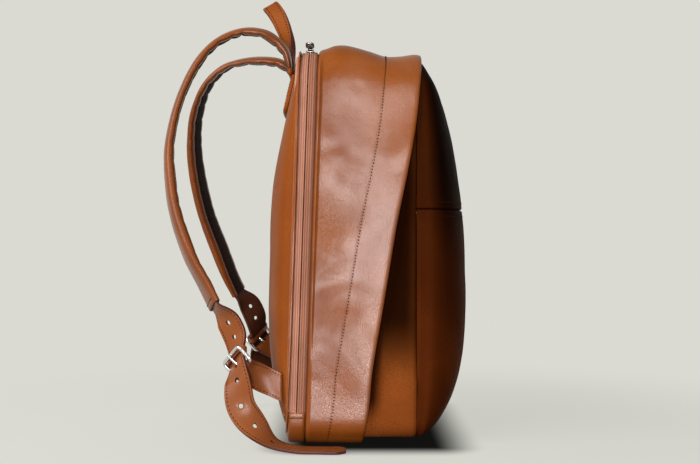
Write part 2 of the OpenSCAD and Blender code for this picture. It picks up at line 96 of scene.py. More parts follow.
def outlineRuns():
    w, h, rt, rl = (outline[k] for k in ("halfWidth", "height", "topRadius", "lowRadius"))
    quarter = math.pi / 2
    return [
        ("line", w - rl, (0, 0), (-1, 0)),
        ("arc", rl * quarter, (rl - w, rl), rl, -quarter),
        ("line", h - rl - rt, (-w, rl), (0, 1)),
        ("arc", rt * quarter, (rt - w, h - rt), rt, -math.pi),
        ("line", 2 * (w - rt), (rt - w, h), (1, 0)),
        ("arc", rt * quarter, (w - rt, h - rt), rt, quarter),
        ("line", h - rl - rt, (w, h - rt), (0, -1)),
        ("arc", rl * quarter, (w - rl, rl), rl, 0),
        ("line", w - rl, (w - rl, 0), (-1, 0)),
    ]


runs = outlineRuns()
rimLength = sum(r[1] for r in runs)


def rimAt(d):  # x, z and the outward normal at a distance round the outline
    d = d % rimLength
    for run in runs:
        if d <= run[1]:
            break
        d -= run[1]
    if run[0] == "line":
        (x, z), (dx, dz) = run[2], run[3]
        return x + dx * d, z + dz * d, -dz if dx == 0 else 0.0, dx if dz == 0 else 0.0
    (cx, cz), r, start = run[2:]
    a = start - d / r
    return cx + r * math.cos(a), cz + r * math.sin(a), math.cos(a), math.sin(a)


def rimStations(columns):
    return [rimAt(rimLength * i / columns) for i in range(columns)]


def rimHeight(z):  # distance round the outline of a height on the -X side
    return runs[0][1] + runs[1][1] + z - outline["lowRadius"]


# lines that the pieces share
zipPlane = {"y": 56.7, "lean": math.radians(1.96), "half": 8.5, "end": 35}
topSag = (
    (-84, -5.5), (-75, -3), (-67, -2.4), (-52, -4.6), (-38, -5), (-20, 0.8),
    (2, 6.6), (15, 6.6), (27, 2.6), (40, 0), (60, 0),
)
hoodEdge = (
    (0, -13), (38, -19.5), (78, -23.5), (131, -32.5), (179, -40.5),
    (233, -49.5), (287, -60.5), (340, -69.5), (403, -75), (415, -75.5),
)
seamBehindHood = 37.5
frontSeam = -70


def zipLine(z, off):  # y of a line along the zip, off millimetres behind its middle
    return zipPlane["y"] + off / math.cos(zipPlane["lean"]) - z * math.tan(zipPlane["lean"])


def inZipPlane(p):  # from the zip plane's own frame into the bag
    c, s = math.cos(zipPlane["lean"]), math.sin(zipPlane["lean"])
    return Vector((p[0], zipPlane["y"] + p[1] * c - p[2] * s, p[1] * s + p[2] * c))


def freeEdge(z):
    return through(hoodEdge, z)


def hoodSeam(z):
    return freeEdge(z) + seamBehindHood


def settle(p):  # the unsupported top of the frame sinks a little
    return Vector((p[0], p[1], p[2] + through(topSag, p[1]) * ease(345, 412, p[2])))


def offRim(station, y, out):  # place some millimetres outside the outline
    x, z, nx, nz = station
    return settle((x + nx * out, y, z + nz * out))


# making meshes
mm = 0.001  # in metres
weldGap = 0.01


def thicken(bm, thick):
    bmesh.ops.solidify(bm, geom=bm.faces[:], thickness=thick)


def gridShape(columns, rows, place, uvAt=None, paintShadeAt=None, thick=None):
    bm = bmesh.new()
    uv = bm.loops.layers.uv.new("UVMap")
    # the fold layer holds painted shade per vertex, which the leather looks mix in as their dark colour
    fold = bm.verts.layers.float.new("fold")
    bmesh.ops.create_grid(bm, x_segments=columns, y_segments=rows, size=0.5)
    cell = {v: (round((v.co.x + 0.5) * columns), round((v.co.y + 0.5) * rows)) for v in bm.verts}
    for f in bm.faces:
        for loop in f.loops:
            i, j = cell[loop.vert]
            loop[uv].uv = uvAt(i, j) if uvAt else (i / columns, j / rows)
    for v in bm.verts:
        v.co = place(*cell[v])
        if paintShadeAt:
            v[fold] = clamp(paintShadeAt(*cell[v]))
    bmesh.ops.remove_doubles(bm, verts=bm.verts, dist=weldGap)
    bmesh.ops.dissolve_degenerate(bm, dist=weldGap, edges=bm.edges)
    bmesh.ops.recalc_face_normals(bm, faces=bm.faces)
    if thick:
        thicken(bm, thick)
    return bm


def boxOf(node):  # a solid's box
    return [Vector(corner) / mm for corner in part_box(node)]


def makePiece(bm, name, looks, body, swaps=(), mirrored=False):
    bmesh.ops.scale(bm, vec=(-mm if mirrored else mm, mm, mm), verts=bm.verts)
    if mirrored:
        bmesh.ops.reverse_faces(bm, faces=bm.faces)
    mesh = bpy.data.meshes.new(name)
    bm.to_mesh(mesh)
    bm.free()
    for look in looks if isinstance(looks, list) else [looks]:
        mesh.materials.append(look)
    mesh.shade_smooth()
    piece = bpy.data.objects.new(name, mesh)
    scene.collection.objects.link(piece)
    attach(piece, body)
    if swaps:
        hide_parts(*swaps)
    return piece


def axesMatrix(at, x, y, z):
    rows = [(x[k], y[k], z[k], at[k]) for k in range(3)]
    return Matrix((*rows, (0, 0, 0, 1)))


stitch = {"pitch": 3.2, "coarse": (0.85, 0.85, 0.55), "fine": (0.85, 0.72, 0.5)}


def sewRow(name, spots, look, body, size=stitch["fine"], mirrored=False):
    bm = bmesh.new()
    shape = Matrix.Diagonal((*size, 1))
    for at, along, out in spots:
        along = along.normalized()
        side = out.cross(along).normalized()
        place = axesMatrix(at, along, side, along.cross(side))
        bmesh.ops.create_icosphere(bm, subdivisions=1, radius=1, matrix=place @ shape)
    return makePiece(bm, name, look, body, (), mirrored)


def rowSpots(pointAt, start, end, pitch, lift=0.0):  # evenly spaced stitches along a surface line
    count = max(2, round(abs(end - start) / pitch))
    spots = []
    for k in range(count):
        d = start + (k + 0.5) * (end - start) / count
        p, out = pointAt(d)
        ahead = pointAt(d + 0.5)[0] - pointAt(d - 0.5)[0]
        spots.append((p + out * lift, ahead, out))
    return spots


def spline(rows, t):  # smooth curve through control rows of numbers
    i = clamp(int(t), 0, len(rows) - 2)
    a, b, c, d = (rows[clamp(k, 0, len(rows) - 1)] for k in (i - 1, i, i + 1, i + 2))
    u = t - i
    return [q + 0.5 * u * (r - p + u * (2 * p - 5 * q + 4 * r - s + u * (3 * q - p - 3 * r + s)))
            for p, q, r, s in zip(a, b, c, d)]


def layRoute(rows, squared=True):  # rows of place, width direction and sizes
    last, steps, nudge = len(rows) - 1, 14, 0.03
    marks = [Vector(spline(rows, k / steps)[:3]) for k in range(last * steps + 1)]
    reach = [0.0]
    for a, b in zip(marks, marks[1:]):
        reach.append(reach[-1] + (b - a).length)

    def at(s):
        k = clamp(bisect.bisect_right(reach, s) - 1, 0, len(reach) - 2)
        t = (k + (s - reach[k]) / (reach[k + 1] - reach[k])) / steps
        row = spline(rows, t)
        run = (Vector(spline(rows, t + nudge)[:3]) - Vector(spline(rows, t - nudge)[:3])).normalized()
        across = Vector(row[3:6])
        if squared:
            across -= run * across.dot(run)
        across.normalize()
        return Vector(row[:3]), run, across, across.cross(run).normalized(), row[6:]

    return at, [reach[k * steps] for k in range(last + 1)]


def routeBend(at):  # place and axes of a flat strip along a route
    def bend(s):
        place, run, across, facing, size = at(s)
        return place, across, facing, size[0] if size else 1.0

    return bend


def tubeAlong(points, radiusAt, sides, up, closed=False):  # round bar swept along points, with rounded ends
    n = len(points)
    up = Vector(up)

    def frameAt(i):
        before, after = ((i - 1) % n, (i + 1) % n) if closed else (max(i - 1, 0), min(i + 1, n - 1))
        run = (points[after] - points[before]).normalized()
        side = run.cross(up).normalized()
        return run, side, side.cross(run)

    stations = [(i, 0.0, 1.0) for i in range(n)]
    if closed:
        stations.append((0, 0.0, 1.0))
    else:
        turns = [math.radians(a) for a in (90, 65, 40, 18)]
        stations = [(0, -math.sin(a), math.cos(a)) for a in turns] + stations
        stations += [(n - 1, math.sin(a), math.cos(a)) for a in reversed(turns)]

    def place(i, j):
        k, push, shrink = stations[i]
        run, side, rise = frameAt(k)
        r = radiusAt(k)
        a = 2 * math.pi * j / sides
        return points[k] + run * push * r + (side * math.cos(a) + rise * math.sin(a)) * r * shrink

    return gridShape(len(stations) - 1, sides, place)


def barPoints(node, r, count=60):  # middle line of a bar that lies across the bag
    low, high = boxOf(node)
    middle, run = (low + high) / 2, high.x - low.x - 2 * r
    return [Vector((low.x + r + run * k / count, middle.y, middle.z)) for k in range(count + 1)]


def joinInto(bm, other):  # adds one mesh under construction to another
    mesh = bpy.data.meshes.new("loose")
    other.to_mesh(mesh)
    other.free()
    bm.from_mesh(mesh)
    bpy.data.meshes.remove(mesh)


def roundEdges(bm, edges, radius, segments=2):
    bmesh.ops.bevel(
        bm, geom=edges, offset=radius, segments=segments, profile=0.5, affect="EDGES", material=-1)


def roundedBlock(low, high, radius, segments=2):
    bm = bmesh.new()
    low, high = Vector(low), Vector(high)
    place = Matrix.Translation((low + high) / 2) @ Matrix.Diagonal((*(high - low), 1))
    bmesh.ops.create_cube(bm, size=1, matrix=place)
    roundEdges(bm, bm.edges[:], radius, segments)
    return bm


# flat leather strips, cut, punched and finished flat and then bent along a route
strip = {
    "bevel": 0.55, "stitchIn": 2.8, "pinch": 0.16, "holeCell": 1.5, "step": 3.2, "sink": 0.2, "longHole": 8,
    "border": 1.5, "inner": 4.1,
}


def holeCells(long):
    return 3 if long < strip["longHole"] else 5


def stripStops(length, holes):
    blocks = []
    for s, long, wide in holes:
        cells = holeCells(long)
        blocks.append([s + strip["holeCell"] * (2 * k - cells) for k in range(cells + 1)])
    stops, last = [0.0], 0.0
    for block in blocks + [[length]]:
        count = max(1, math.ceil((block[0] - last) / strip["step"]))
        stops += [last + (block[0] - last) * k / count for k in range(1, count + 1)]
        stops += block[1:]
        last = block[-1]
    return stops


def stripAcross(half):
    edge = [half] + [half - strip[k] for k in ("border", "stitchIn", "inner")]
    edge = [a for a in edge if a > 1.9] or [half]
    inner = [3 * strip["holeCell"], strip["holeCell"]]
    if half > 12:
        inner.insert(0, (half - strip["inner"] + inner[0]) / 2)
    marks = edge + [a for a in inner if a < edge[-1] - 0.3]
    return [-a for a in marks] + list(reversed(marks))


def punch(bm, s, long, wide):
    reachS, reachA = strip["holeCell"] * holeCells(long), strip["holeCell"] * 3

    def inside(co):
        return abs(co.x - s) < reachS and abs(co.y) < reachA

    block = [f for f in bm.faces if inside(f.calc_center_median())]
    patch = bmesh.ops.dissolve_faces(bm, faces=block, use_verts=False)["region"]
    bmesh.ops.inset_region(bm, faces=patch, thickness=0.6, use_even_offset=True)
    for v in patch[0].verts:
        turn = math.atan2(v.co.y / reachA, (v.co.x - s) / reachS)
        v.co = (s + long / 2 * math.cos(turn), wide / 2 * math.sin(turn), 0)
    bmesh.ops.delete(bm, geom=patch, context="FACES_ONLY")


def flatStrip(half, thick, length, bend, holes=(), under=0):  # bend gives the place and axes at a distance
    stops, across = stripStops(length, holes), stripAcross(half)
    bm = gridShape(len(stops) - 1, len(across) - 1, lambda i, j: Vector((stops[i], across[j], 0)))
    for s, long, wide in holes:
        punch(bm, s, long, wide)
    bmesh.ops.recalc_face_normals(bm, faces=bm.faces)
    thicken(bm, thick)
    middle = (max(v.co.z for v in bm.verts) + min(v.co.z for v in bm.verts)) / 2
    bmesh.ops.translate(bm, vec=(0, 0, -middle), verts=bm.verts)
    bmesh.ops.recalc_face_normals(bm, faces=bm.faces)
    sharp = [e for e in bm.edges if len(e.link_faces) == 2 and e.calc_face_angle(0) > 1.0]
    roundEdges(bm, sharp, strip["bevel"])
    for f in bm.faces:
        f.material_index = 1 if abs(f.normal.z) < 0.75 else 0 if f.normal.z > 0 else under
    seam = half - strip["stitchIn"]
    known = {}
    for v in bm.verts:
        s, a, h = v.co
        key = round(s, 2)
        if key not in known:
            known[key] = bend(s)
        at, axis, out, share = known[key]
        pinch = 1 - strip["pinch"] * dip(abs(a) - seam, 0.8)
        v.co = at + axis * a * share + out * h * pinch
    bmesh.ops.recalc_face_normals(bm, faces=bm.faces)
    return bm


def stripSpots(bend, half, thick, start, end, faces=(1, -1)):
    spots = []
    for side in (-1, 1):
        for face in faces:
            def pointAt(s):
                at, axis, out, share = bend(s)
                seam = (half - strip["stitchIn"]) * side * share
                return at + axis * seam + out * face * (thick / 2 - strip["sink"]), out * face

            spots += rowSpots(pointAt, start, end, stitch["pitch"])
    return spots


# looks


def newGroup(name, inputs, outputs):
    group = bpy.data.node_groups.new(name, "ShaderNodeTree")
    for way, labels in (("INPUT", inputs), ("OUTPUT", outputs)):
        for label in labels:
            kind = "NodeSocketVector" if label == "Vector" else "NodeSocketFloat"
            group.interface.new_socket(label, in_out=way, socket_type=kind)
    return group, group.nodes.new("NodeGroupInput"), group.nodes.new("NodeGroupOutput")


def feed(tree, node, key, value):  # a link or a set value
    if isinstance(value, bpy.types.NodeSocket):
        tree.links.new(value, node.inputs[key])
    else:
        node.inputs[key].default_value = value


def addNode(tree, kind, links=None, **settings):
    node = tree.nodes.new(kind)
    for key, value in settings.items():
        setattr(node, key, value)
    for key, value in (links or {}).items():
        feed(tree, node, key, value)
    return node


def mathNode(tree, operation, a, b=0.0, c=0.0):
    return addNode(tree, "ShaderNodeMath", {0: a, 1: b, 2: c}, operation=operation).outputs[0]


def rangeNode(tree, value, low, high, start=0.0, end=1.0):
    links = {"Value": value, "From Min": low, "From Max": high, "To Min": start, "To Max": end}
    return addNode(tree, "ShaderNodeMapRange", links, interpolation_type="SMOOTHSTEP").outputs[0]


def noiseNode(tree, at, scale, detail=2.0, distortion=0.0):
    links = {"Vector": at, "Scale": scale, "Detail": detail, "Distortion": distortion}
    return addNode(tree, "ShaderNodeTexNoise", links).outputs[0]


def vectorNode(tree, operation, links, output=0):
    return addNode(tree, "ShaderNodeVectorMath", links, operation=operation).outputs[output]


def mixColor(tree, share, a, b):
    a, b = (c if isinstance(c, bpy.types.NodeSocket) else (*c, 1) for c in (a, b))
    return addNode(tree, "ShaderNodeMix", {0: share, 6: a, 7: b}, data_type="RGBA").outputs[2]


def hideGroup():  # pebbled grain, pores, soft creases and slow changes of tone of full-grain leather
    g, gin, gout = newGroup("hideGrain", ("Vector", "Pebble", "Creases"), ("Height", "Tone", "Pores"))
    at, pebbleScale = gin.outputs["Vector"], gin.outputs["Pebble"]
    drift = addNode(g, "ShaderNodeTexNoise", {"Vector": at, "Scale": 260.0, "Detail": 2.0}).outputs["Color"]
    shift = vectorNode(g, "SUBTRACT", {0: drift, 1: (0.5, 0.5, 0.5)})
    small = vectorNode(g, "SCALE", {0: shift, "Scale": 0.0022})
    bent = vectorNode(g, "ADD", {0: at, 1: small})

    def cells(scale, width):
        links = {"Vector": bent, "Scale": scale}
        node = addNode(g, "ShaderNodeTexVoronoi", links, feature="DISTANCE_TO_EDGE")
        return rangeNode(g, node.outputs["Distance"], 0.0, width)

    pebble = cells(pebbleScale, 0.22)
    fine = cells(mathNode(g, "MULTIPLY", pebbleScale, 2.3), 0.25)
    strength = rangeNode(g, noiseNode(g, at, 17.0), 0.35, 0.65, 0.35, 1.0)
    fold = noiseNode(g, at, 42.0, 3.0, 1.1)
    line = rangeNode(g, mathNode(g, "ABSOLUTE", mathNode(g, "SUBTRACT", fold, 0.5)), 0.0, 0.03, 1.0, 0.0)
    crease = mathNode(g, "MULTIPLY", line, gin.outputs["Creases"])
    grain = mathNode(g, "MULTIPLY", mathNode(g, "MULTIPLY_ADD", fine, 0.35, pebble), strength)
    rise = mathNode(g, "MULTIPLY_ADD", noiseNode(g, at, 75.0, 3.0), 2.2, grain)
    feed(g, gout, "Height", mathNode(g, "MULTIPLY_ADD", crease, -1.6, rise))
    feed(g, gout, "Tone", rangeNode(g, noiseNode(g, at, 9.0, 4.0), 0.3, 0.7))
    feed(g, gout, "Pores", mathNode(g, "SUBTRACT", 1.0, mathNode(g, "MULTIPLY", pebble, strength)))
    return g


def weaveGroup():  # warp and weft threads that follow the piece's own UV map, in millimetres
    g, gin, gout = newGroup("threadWeave", ("Along", "Across", "Twill"), ("Height", "Thread"))
    uv = addNode(g, "ShaderNodeUVMap", uv_map="UVMap").outputs[0]
    split = addNode(g, "ShaderNodeSeparateXYZ", {0: uv})
    u = mathNode(g, "MULTIPLY", split.outputs[0], gin.outputs["Along"])
    v = mathNode(g, "MULTIPLY", split.outputs[1], gin.outputs["Across"])
    warp = mathNode(g, "ABSOLUTE", mathNode(g, "SINE", mathNode(g, "MULTIPLY", v, math.pi)))
    step = mathNode(g, "MULTIPLY", mathNode(g, "FLOOR", v), gin.outputs["Twill"])
    skew = mathNode(g, "ADD", u, step)
    weft = mathNode(g, "ABSOLUTE", mathNode(g, "SINE", mathNode(g, "MULTIPLY", skew, math.pi)))
    feed(g, gout, "Height", mathNode(g, "MULTIPLY_ADD", weft, 0.6, warp))
    lit = mathNode(g, "MULTIPLY_ADD", weft, 0.5, 0.5)
    feed(g, gout, "Thread", mathNode(g, "MULTIPLY", warp, lit))
    return g


def startLook(name, roughness):
    look = bpy.data.materials.new(name)
    look.use_nodes = True
    tree = look.node_tree
    shader = tree.nodes["Principled BSDF"]
    feed(tree, shader, "Roughness", roughness)
    return look, tree, shader, tree.nodes.new("ShaderNodeTexCoord").outputs["Object"]


def bump(tree, shader, height, strength, distance):
    node = addNode(tree, "ShaderNodeBump", {"Height": height, "Strength": strength, "Distance": distance})
    feed(tree, shader, "Normal", node.outputs[0])


hideGrain = hideGroup()
threadWeave = weaveGroup()


def leatherLook(name, light, dark, poreAndShadeColor, gloss, pebble=560.0, depth=0.00008, creases=0.5, patchy=0.0):
    roughness, shine = gloss
    look, tree, shader, at = startLook(name, roughness)
    links = {"Vector": at, "Pebble": pebble, "Creases": creases}
    hide = addNode(tree, "ShaderNodeGroup", links, node_tree=hideGrain)
    tone = mixColor(tree, hide.outputs["Tone"], dark, light)
    pores = mathNode(tree, "MULTIPLY", hide.outputs["Pores"], 0.32)
    grained = mixColor(tree, pores, tone, poreAndShadeColor)
    # painted shade: the fold layer mixes in the dark colour, the same colour that darkens the grain's pores
    paintedShadeShare = addNode(tree, "ShaderNodeAttribute", attribute_name="fold").outputs["Fac"]
    feed(tree, shader, "Base Color", mixColor(tree, paintedShadeShare, grained, poreAndShadeColor))
    rough = rangeNode(tree, hide.outputs["Pores"], 0.0, 1.0, roughness - 0.03, roughness + 0.07)
    feed(tree, shader, "Roughness", rough)
    bump(tree, shader, hide.outputs["Height"], 0.5, depth)
    feed(tree, shader, "Specular IOR Level", shine)
    if patchy:  # some places polished more than others
        cloud = noiseNode(tree, at, 13.0, 3.0, 0.6)
        level = rangeNode(tree, cloud, 0.36, 0.64, shine * (1 - patchy), shine * (1 + 0.3 * patchy))
        feed(tree, shader, "Specular IOR Level", level)
    return look


def clothLook(name, light, dark, along, across, twill, depth):
    look, tree, shader, at = startLook(name, 0.82)
    links = {"Along": along, "Across": across, "Twill": twill}
    weave = addNode(tree, "ShaderNodeGroup", links, node_tree=threadWeave)
    cloud = rangeNode(tree, noiseNode(tree, at, 30.0, 4.0), 0.25, 0.75, 0.55, 1.0)
    share = mathNode(tree, "MULTIPLY", weave.outputs["Thread"], cloud)
    feed(tree, shader, "Base Color", mixColor(tree, share, dark, light))
    bump(tree, shader, weave.outputs["Height"], 0.6, depth)
    feed(tree, shader, "Specular IOR Level", 0.3)
    return look


def metalLook(name, light, dark, roughness):
    look, tree, shader, at = startLook(name, roughness)
    feed(tree, shader, "Metallic", 1.0)
    smear = noiseNode(tree, at, 180.0, 5.0)
    feed(tree, shader, "Base Color", mixColor(tree, smear, dark, light))
    rough = rangeNode(tree, smear, 0.2, 0.8, roughness - 0.06, roughness + 0.1)
    feed(tree, shader, "Roughness", rough)
    bump(tree, shader, noiseNode(tree, at, 1400.0), 0.08, 0.0001)
    return look


def threadLook(name, light, dark):
    look, tree, shader, at = startLook(name, 0.7)
    twist = noiseNode(tree, at, 1800.0)
    shade = rangeNode(tree, twist, 0.3, 0.7)
    feed(tree, shader, "Base Color", mixColor(tree, shade, dark, light))
    bump(tree, shader, twist, 0.4, 0.0002)
    feed(tree, shader, "Specular IOR Level", 0.08)
    return look


cognac = leatherLook(
    "cognacLeather", (0.3, 0.08, 0.01), (0.23, 0.055, 0.006), (0.07, 0.013, 0.002), (0.3, 0.46), patchy=0.66)
backHide = leatherLook(
    "backLeather", (0.3, 0.08, 0.012), (0.24, 0.058, 0.008), (0.08, 0.015, 0.003), (0.42, 0.06))
# a lighter copy of the side leather, whose near-black dark colour is mixed in as painted shade of the hood
hoodShadedGussetHide = leatherLook(
    "gussetLeather", (0.36, 0.1, 0.02), (0.28, 0.07, 0.013), (0.005, 0.001, 0.0005), (0.5, 0.0))
# a darker copy of the side leather: painted shade for the front panels; the base board uses it too
shadedFrontHide = leatherLook(
    "frontLeather", (0.125, 0.027, 0.004), (0.092, 0.018, 0.003), (0.003, 0.001, 0.0005), (0.5, 0.004))
strapHide = leatherLook(
    "strapLeather", (0.31, 0.093, 0.027), (0.235, 0.064, 0.013), (0.075, 0.017, 0.004), (0.27, 0.2),
    pebble=760.0, depth=0.00003)
padHide = leatherLook(
    "padLeather", (0.27, 0.066, 0.008), (0.21, 0.05, 0.006), (0.014, 0.004, 0.002), (0.27, 0.34),
    pebble=820.0, depth=0.00002, creases=0.3)
# near-black leather for the pads' inner faces: painted shade
shadedPadInner = leatherLook(
    "padInnerLeather", (0.026, 0.01, 0.006), (0.017, 0.006, 0.004), (0.006, 0.002, 0.001), (0.6, 0.03),
    pebble=820.0, depth=0.0001)
# dark leather for the belts' inner faces: painted shade
shadedStripUnderside = leatherLook(
    "shadedStripUnderside", (0.09, 0.03, 0.014), (0.06, 0.018, 0.008), (0.02, 0.006, 0.003), (0.6, 0.05),
    pebble=820.0, depth=0.0001, creases=0.0)
paintedEdge = leatherLook(
    "paintedEdge", (0.085, 0.014, 0.009), (0.055, 0.009, 0.006), (0.02, 0.004, 0.003), (0.42, 0.3),
    pebble=1400.0, depth=0.00005, creases=0.0)
tapeWeave = clothLook("zipTapeWeave", (0.62, 0.3, 0.2), (0.3, 0.12, 0.075), 0.55, 0.42, 0.5, 0.0006)
shadedTape = clothLook("zipTapeShaded", (0.5, 0.22, 0.135), (0.2, 0.075, 0.042), 0.55, 0.42, 0.5, 0.0006)
liningWeave = clothLook("liningTwill", (0.125, 0.075, 0.045), (0.05, 0.028, 0.017), 1.2, 1.2, 0.33, 0.0002)
nickel = metalLook("polishedNickel", (0.8, 0.79, 0.77), (0.62, 0.61, 0.59), 0.19)
dullNickel = metalLook("dullNickel", (0.3, 0.29, 0.28), (0.13, 0.125, 0.12), 0.24)
darkThread = threadLook("darkThread", (0.02, 0.006, 0.003), (0.01, 0.003, 0.002))
tanThread = threadLook("tanThread", (0.52, 0.24, 0.1), (0.35, 0.13, 0.045))
coilNylon = threadLook("coilNylon", (0.16, 0.07, 0.04), (0.09, 0.036, 0.02))
print("looks ready:", len(bpy.data.materials), "materials")


# camera, light and floor
shot = {"from": (-1.4, 0.0, 0.225), "focal": 1205, "width": 700, "rise": 2}


def makeCamera():
    data = bpy.data.cameras.new("sideCamera")
    data.sensor_width = 36
    data.lens = shot["focal"] / shot["width"] * data.sensor_width
    data.shift_y = -shot["rise"] / shot["width"]
    camera = bpy.data.objects.new("sideCamera", data)
    camera.location = shot["from"]
    camera.rotation_euler = Vector((1, 0, 0)).to_track_quat("-Z", "Y").to_euler()
    scene.collection.objects.link(camera)
    scene.camera = camera


lamps = {  # place, aim, size, watts, tint; the fills leave no highlight
    "sheenBox": ((-1.75, 0.02, 0.19), (-0.15, 0.0, 0.23), (0.5, 0.37), 18.0, (1.0, 0.95, 0.94)),
    "sheenTop": ((-1.75, 0.1, 0.44), (-0.15, 0.0, 0.23), (0.36, 0.22), 1.7, (1.0, 0.95, 0.94)),
    "softKey": ((-1.05, 1.15, 1.0), (-0.1, 0.05, 0.2), (1.4, 1.3), 29.0, (1.0, 0.97, 0.94)),
    "frontFill": ((-0.3, -1.7, 0.7), (0.0, -0.1, 0.2), (1.0, 1.0), 1.2, (1.0, 0.98, 0.96)),
    "farFill": ((1.3, -0.5, 1.0), (0.1, 0.0, 0.2), (0.9, 0.9), 9.0, (1.0, 0.98, 0.96)),
    "topFill": ((0.0, 1.25, 1.35), (0.0, 0.05, 0.2), (1.2, 1.2), 8.0, (1.0, 0.98, 0.96)),
}
# foot, footShift, contact and under place the floor's painted contact shadow under the bag
backdrop = {
    "color": (0.702, 0.702, 0.646), "air": 0.06, "floorSize": 12.0, "drop": 0.0004, "paper": 0.22,
    "lift": 0.79, "paperReach": (0.3, 0.75), "foot": (0.15, 0.068, 1.0), "footShift": (0.0, 0.02, 0.0),
    "contact": 0.055, "under": 0.01,
}


def makeLamps():
    for name, (place, aim, size, watts, tint) in lamps.items():
        data = bpy.data.lights.new(name, "AREA")
        data.shape = "RECTANGLE"
        data.size, data.size_y = size
        data.energy, data.color = watts, tint
        lamp = bpy.data.objects.new(name, data)
        lamp.location = place
        lamp.visible_glossy = not name.endswith("Fill")
        lamp.rotation_euler = (Vector(aim) - Vector(place)).to_track_quat("-Z", "Y").to_euler()
        scene.collection.objects.link(lamp)


def seenRays(tree):  # the camera, metal and glass see the backdrop itself
    path = tree.nodes.new("ShaderNodeLightPath")
    mirrors = mathNode(tree, "MAXIMUM", path.outputs["Is Glossy Ray"], path.outputs["Is Transmission Ray"])
    return mathNode(tree, "MAXIMUM", path.outputs["Is Camera Ray"], mirrors)


def makeWorld():
    world = bpy.data.worlds.new("studioAir")
    scene.world = world
    world.use_nodes = True
    tree = world.node_tree
    tree.nodes.clear()
    seen = seenRays(tree)
    level = rangeNode(tree, seen, 0.0, 1.0, backdrop["air"], 1.0)
    sky = addNode(tree, "ShaderNodeBackground", {"Color": (*backdrop["color"], 1), "Strength": level})
    out = tree.nodes.new("ShaderNodeOutputWorld")
    feed(tree, out, 0, sky.outputs[0])


def makeFloor():
    bm = bmesh.new()
    bmesh.ops.create_grid(bm, x_segments=2, y_segments=2, size=backdrop["floorSize"])
    mesh = bpy.data.meshes.new("studioFloor")
    bm.to_mesh(mesh)
    bm.free()
    floor = bpy.data.objects.new("studioFloor", mesh)
    floor.location.z = -backdrop["drop"]
    scene.collection.objects.link(floor)
    look = bpy.data.materials.new("floorPaper")
    look.use_nodes = True
    tree = look.node_tree
    tree.nodes.clear()
    at = tree.nodes.new("ShaderNodeTexCoord").outputs["Object"]
    reach = vectorNode(tree, "LENGTH", {0: at}, "Value")
    near = rangeNode(tree, reach, *backdrop["paperReach"], 1.0, 0.0)  # plain backdrop beyond
    gap = vectorNode(tree, "ADD", {0: at, 1: backdrop["footShift"]})
    gap = vectorNode(tree, "ABSOLUTE", {0: gap})
    past = vectorNode(tree, "SUBTRACT", {0: gap, 1: backdrop["foot"]})
    past = vectorNode(tree, "MAXIMUM", {0: past, 1: (0, 0, 0)})
    past = vectorNode(tree, "LENGTH", {0: past}, "Value")
    paintedShadowMask = rangeNode(tree, past, 0.0, backdrop["contact"], backdrop["under"], 1.0)  # painted contact shadow: dark under the bag's footprint, on the paper and its glow
    shade = mathNode(tree, "MULTIPLY", mathNode(tree, "MULTIPLY", near, paintedShadowMask), backdrop["paper"])
    paperColor = mixColor(tree, shade, (0, 0, 0), backdrop["color"])
    paper = addNode(tree, "ShaderNodeBsdfDiffuse", {"Color": paperColor})
    level = mathNode(tree, "MULTIPLY_ADD", near, backdrop["lift"] - 1.0, 1.0)
    seen = mathNode(tree, "MULTIPLY", seenRays(tree), mathNode(tree, "MULTIPLY", level, paintedShadowMask))
    glow = addNode(tree, "ShaderNodeEmission", {"Color": (*backdrop["color"], 1), "Strength": seen})
    both = addNode(tree, "ShaderNodeAddShader", {0: paper.outputs[0], 1: glow.outputs[0]})
    out = tree.nodes.new("ShaderNodeOutputMaterial")
    feed(tree, out, 0, both.outputs[0])
    mesh.materials.append(look)


scene.view_settings.view_transform = "Standard"
makeCamera()
makeLamps()
makeWorld()
makeFloor()
print("camera, lamps and floor ready")


# frame leather with its folded hood
frameLeather = {
    "columns": 344, "sideRows": 26, "hoodRows": 16, "thick": 4.8, "groove": 0.2, "grooveWidth": 1.5,
    "waves": ((0.9, 66, 3.1), (0.2, 23, 7.7)), "hoodWaves": ((1.1, 85, 1.3),), "standing": 0.75,
    "creases": (  # y, z to y, z on the -X side, depth, width
        (33, 229, 1, 226, 0.4, 5.0), (22, 213, 2, 205, 0.25, 4.0), (-3, 376, -14, 370, 0.3, 4.0),
        (32, 306, 8, 316, 0.5, 6.0), (43, 73, 28, 64, 0.4, 5.0), (36, 176, 18, 168, 0.25, 4.0),
        (12, 135, -12, 120, 0.35, 8.0), (40, 262, 16, 268, 0.3, 7.0),
    ),
}


def segmentGap(y, z, y0, z0, y1, z1):  # distance from a crease line
    run = Vector((y1 - y0, z1 - z0))
    t = clamp((Vector((y - y0, z - z0)) @ run) / run.length_squared)
    return math.hypot(y - y0 - run.x * t, z - z0 - run.y * t), math.sin(math.pi * clamp(t * 0.9 + 0.05))


def frameRelief(x, y, z, nz):
    seam = hoodSeam(z)
    calm = ease(0, 22, abs(y - seam)) * ease(0, 12, zipLine(z, -zipPlane["half"]) - y)
    rise = waves((x, y, z), frameLeather["waves"]) * calm
    if y < seam:
        rise += waves((x, 0.3 * y, z), frameLeather["hoodWaves"]) * ease(0, 30, seam - y)
    if x < -140:
        for y0, z0, y1, z1, depth, width in frameLeather["creases"]:
            gap, share = segmentGap(y, z, y0, z0, y1, z1)
            if gap < 4 * width:
                rise -= depth * share * (dip(gap, width) - 0.45 * dip(gap - 1.8 * width, width))
    rise -= frameLeather["groove"] * dip(y - seam, frameLeather["grooveWidth"])
    fuller = (2.0 - 4.0 * clamp((z - 28) / 110)) * min(1.0, z / 28)  # the sides are fuller low down
    rise += fuller * ease(0.9, 1.0, abs(x) / outline["halfWidth"])
    return min(rise, 0.0) if nz < -0.5 else rise


